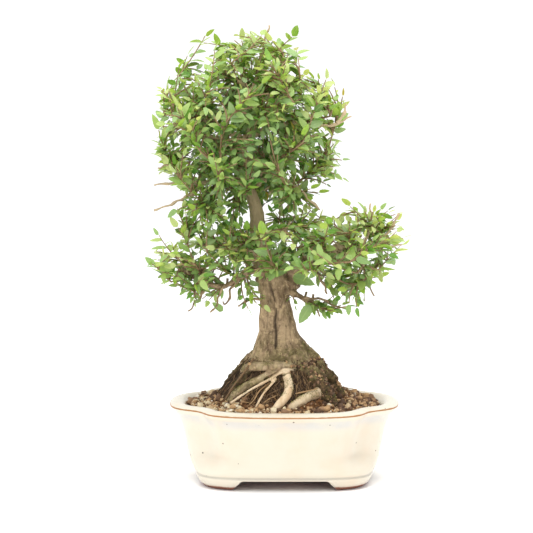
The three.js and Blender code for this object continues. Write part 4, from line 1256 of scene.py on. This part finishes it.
def grow_shoots():
    """The foliage of each spray, with its shoot grown, and the wood that twigs can grow from: rows of
    (point, way on), and the name of the piece that each row is part of."""
    pieces, rows, owners = {}, [], []
    for name, (line, outward) in spray_shoots().items():
        pieces[name] = Foliage()
        foot = stem_foot(name)
        away = line[0] - foot
        stem = foot + np.linspace(-0.02, 1, 9)[:, None] * away
        stem += 0.05 * np.sin(np.pi * np.linspace(0, 1, 9))[:, None] * np.linalg.norm(away) * outward
        whole = np.concatenate([stem[:-1], line])
        pieces[name].twig(whole, SHOOT_RADII)
        grow_leaves(pieces[name], line, outward, 0.04, SHOOT_GAP, SHOOT_LEAF, SHOOT_FRESH_AND_LIT)
        ahead = np.gradient(whole, axis=0)
        rows.extend((whole[k], unit(ahead[k])) for k in range(2, len(whole) - 2))
        owners.extend([name] * (len(whole) - 4))
    return pieces, rows + wood_rows, owners + ["limb"] * len(wood_rows)


def make_foliage():
    pieces, rows, owners = grow_shoots()
    pieces["limb"] = Foliage()
    finder = finder_of([point for point, _ in rows])
    for target, (middle, size, *_), share in twig_targets():
        index = best_anchor(target, rows, finder)
        point, way = rows[index]
        reach = np.linalg.norm(target - point)
        if not TWIG_REACH[0] <= reach <= TWIG_REACH[1]:
            continue
        lead = unit(way * 0.5 + unit(target - point))
        line = curve(point, point + lead * reach * TWIG_BEND, target, TWIG_STEPS)
        piece = pieces[owners[index]]
        piece.twig(line, TWIG_RADII)
        if rng.random() < BARE_TWIGS:
            continue
        outward = unit((target - np.array(middle)) / np.array(size) + [0, 0, 0.15])
        scale = rng.uniform(0.8, 1.2)
        # Twigs out on a pad's face, and on its top and sides, get lighter leaves, and those deep inside get
        # darker ones: partly new growth, partly painted light and painted shade.
        growth_and_light = min(1.3, 0.38 + 0.95 * max(0, outward[2]) + 0.55 * abs(outward[0]))
        fresh_and_lit = held(share * 2.2 - 1.1) * growth_and_light * rng.uniform(0.3, 1.8)
        lengths = np.array(TWIG_LEAF) * scale
        bare_share = max(0.1, 1 - LEAFY_STRETCH / reach)
        grow_leaves(piece, line, outward, bare_share, TWIG_GAP * scale, lengths, fresh_and_lit)
    for foot, along, length in BIG_LEAVES:
        along = unit(np.array(along))
        face = unit(BIG_LEAF_FACE - along * (BIG_LEAF_FACE @ along))
        pieces["limb"].leaf(np.array(foot), along, face, length, BIG_LEAF_WIDTH * length, BIG_LEAF_TONE)
    limb_twigs = pieces.pop("limb")
    for name, foliage in pieces.items():
        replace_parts(foliage.make("leafy_" + name), name)
    limb_twigs.make("limb_twigs")


make_foliage()


# The white ground and soft light of the picture: a big pale floor that runs out of view under a white sky,
# with a small key light from the left and a broad one from above.
FLOOR_REACH, FLOOR_GAP = 6.0, 0.0002
SKY_STRENGTH = 1.12
# Lights, as (name, place, size, power, what it aims at).
LIGHTS = [
    ("key", (-1.1, -1.5, 1.6), 0.7, 11, (0, 0, 0.25)),
    ("top", (0.1, -0.2, 1.9), 1.6, 28, (0, 0, 0.2)),
]
# A long lens, high in front of the pot and a little to its left, tipped down.
LENS, CAMERA_LEFT, CAMERA_BACK, CAMERA_HEIGHT, TIPPED_DOWN = 138.6, 0.0175, 2.0, 0.45, 6.82


def make_stage():
    mesh = bpy.data.meshes.new("floor")
    corners = [(x * FLOOR_REACH, y * FLOOR_REACH, 0) for x, y in ((-1, -1), (1, -1), (1, 1), (-1, 1))]
    mesh.from_pydata(corners, [], [(0, 1, 2, 3)])
    material, graph = new_material("white_ground")
    graph.shader.inputs["Base Color"].default_value = (0.98, 0.98, 0.98, 1)
    graph.shader.inputs["Roughness"].default_value = 0.9
    mesh.materials.append(material)
    floor = add_object("floor", mesh)
    floor.location.z = -FLOOR_GAP

    world = bpy.data.worlds.new("white_sky")
    world.use_nodes = True
    sky = world.node_tree.nodes["Background"].inputs
    sky["Color"].default_value = (1, 1, 1, 1)
    sky["Strength"].default_value = SKY_STRENGTH
    bpy.context.scene.world = world

    for name, place, size, power, aim in LIGHTS:
        light = bpy.data.lights.new(name, "AREA")
        light.shape, light.size, light.energy = "SQUARE", size, power
        lamp = add_object(name, light)
        lamp.location = place
        lamp.rotation_euler = (Vector(aim) - Vector(place)).to_track_quat("-Z", "Y").to_euler()


def make_camera():
    camera = bpy.data.cameras.new("camera")
    camera.lens, camera.sensor_width, camera.clip_start = LENS, 36, 0.1
    eye = add_object("camera", camera)
    eye.location = (pot_middle.x * MM - CAMERA_LEFT, pot_middle.y * MM - CAMERA_BACK, CAMERA_HEIGHT)
    eye.rotation_euler = (math.radians(90 - TIPPED_DOWN), 0, 0)
    bpy.context.scene.camera = eye
    bpy.context.scene.view_settings.view_transform = "Standard"


make_stage()
make_camera()
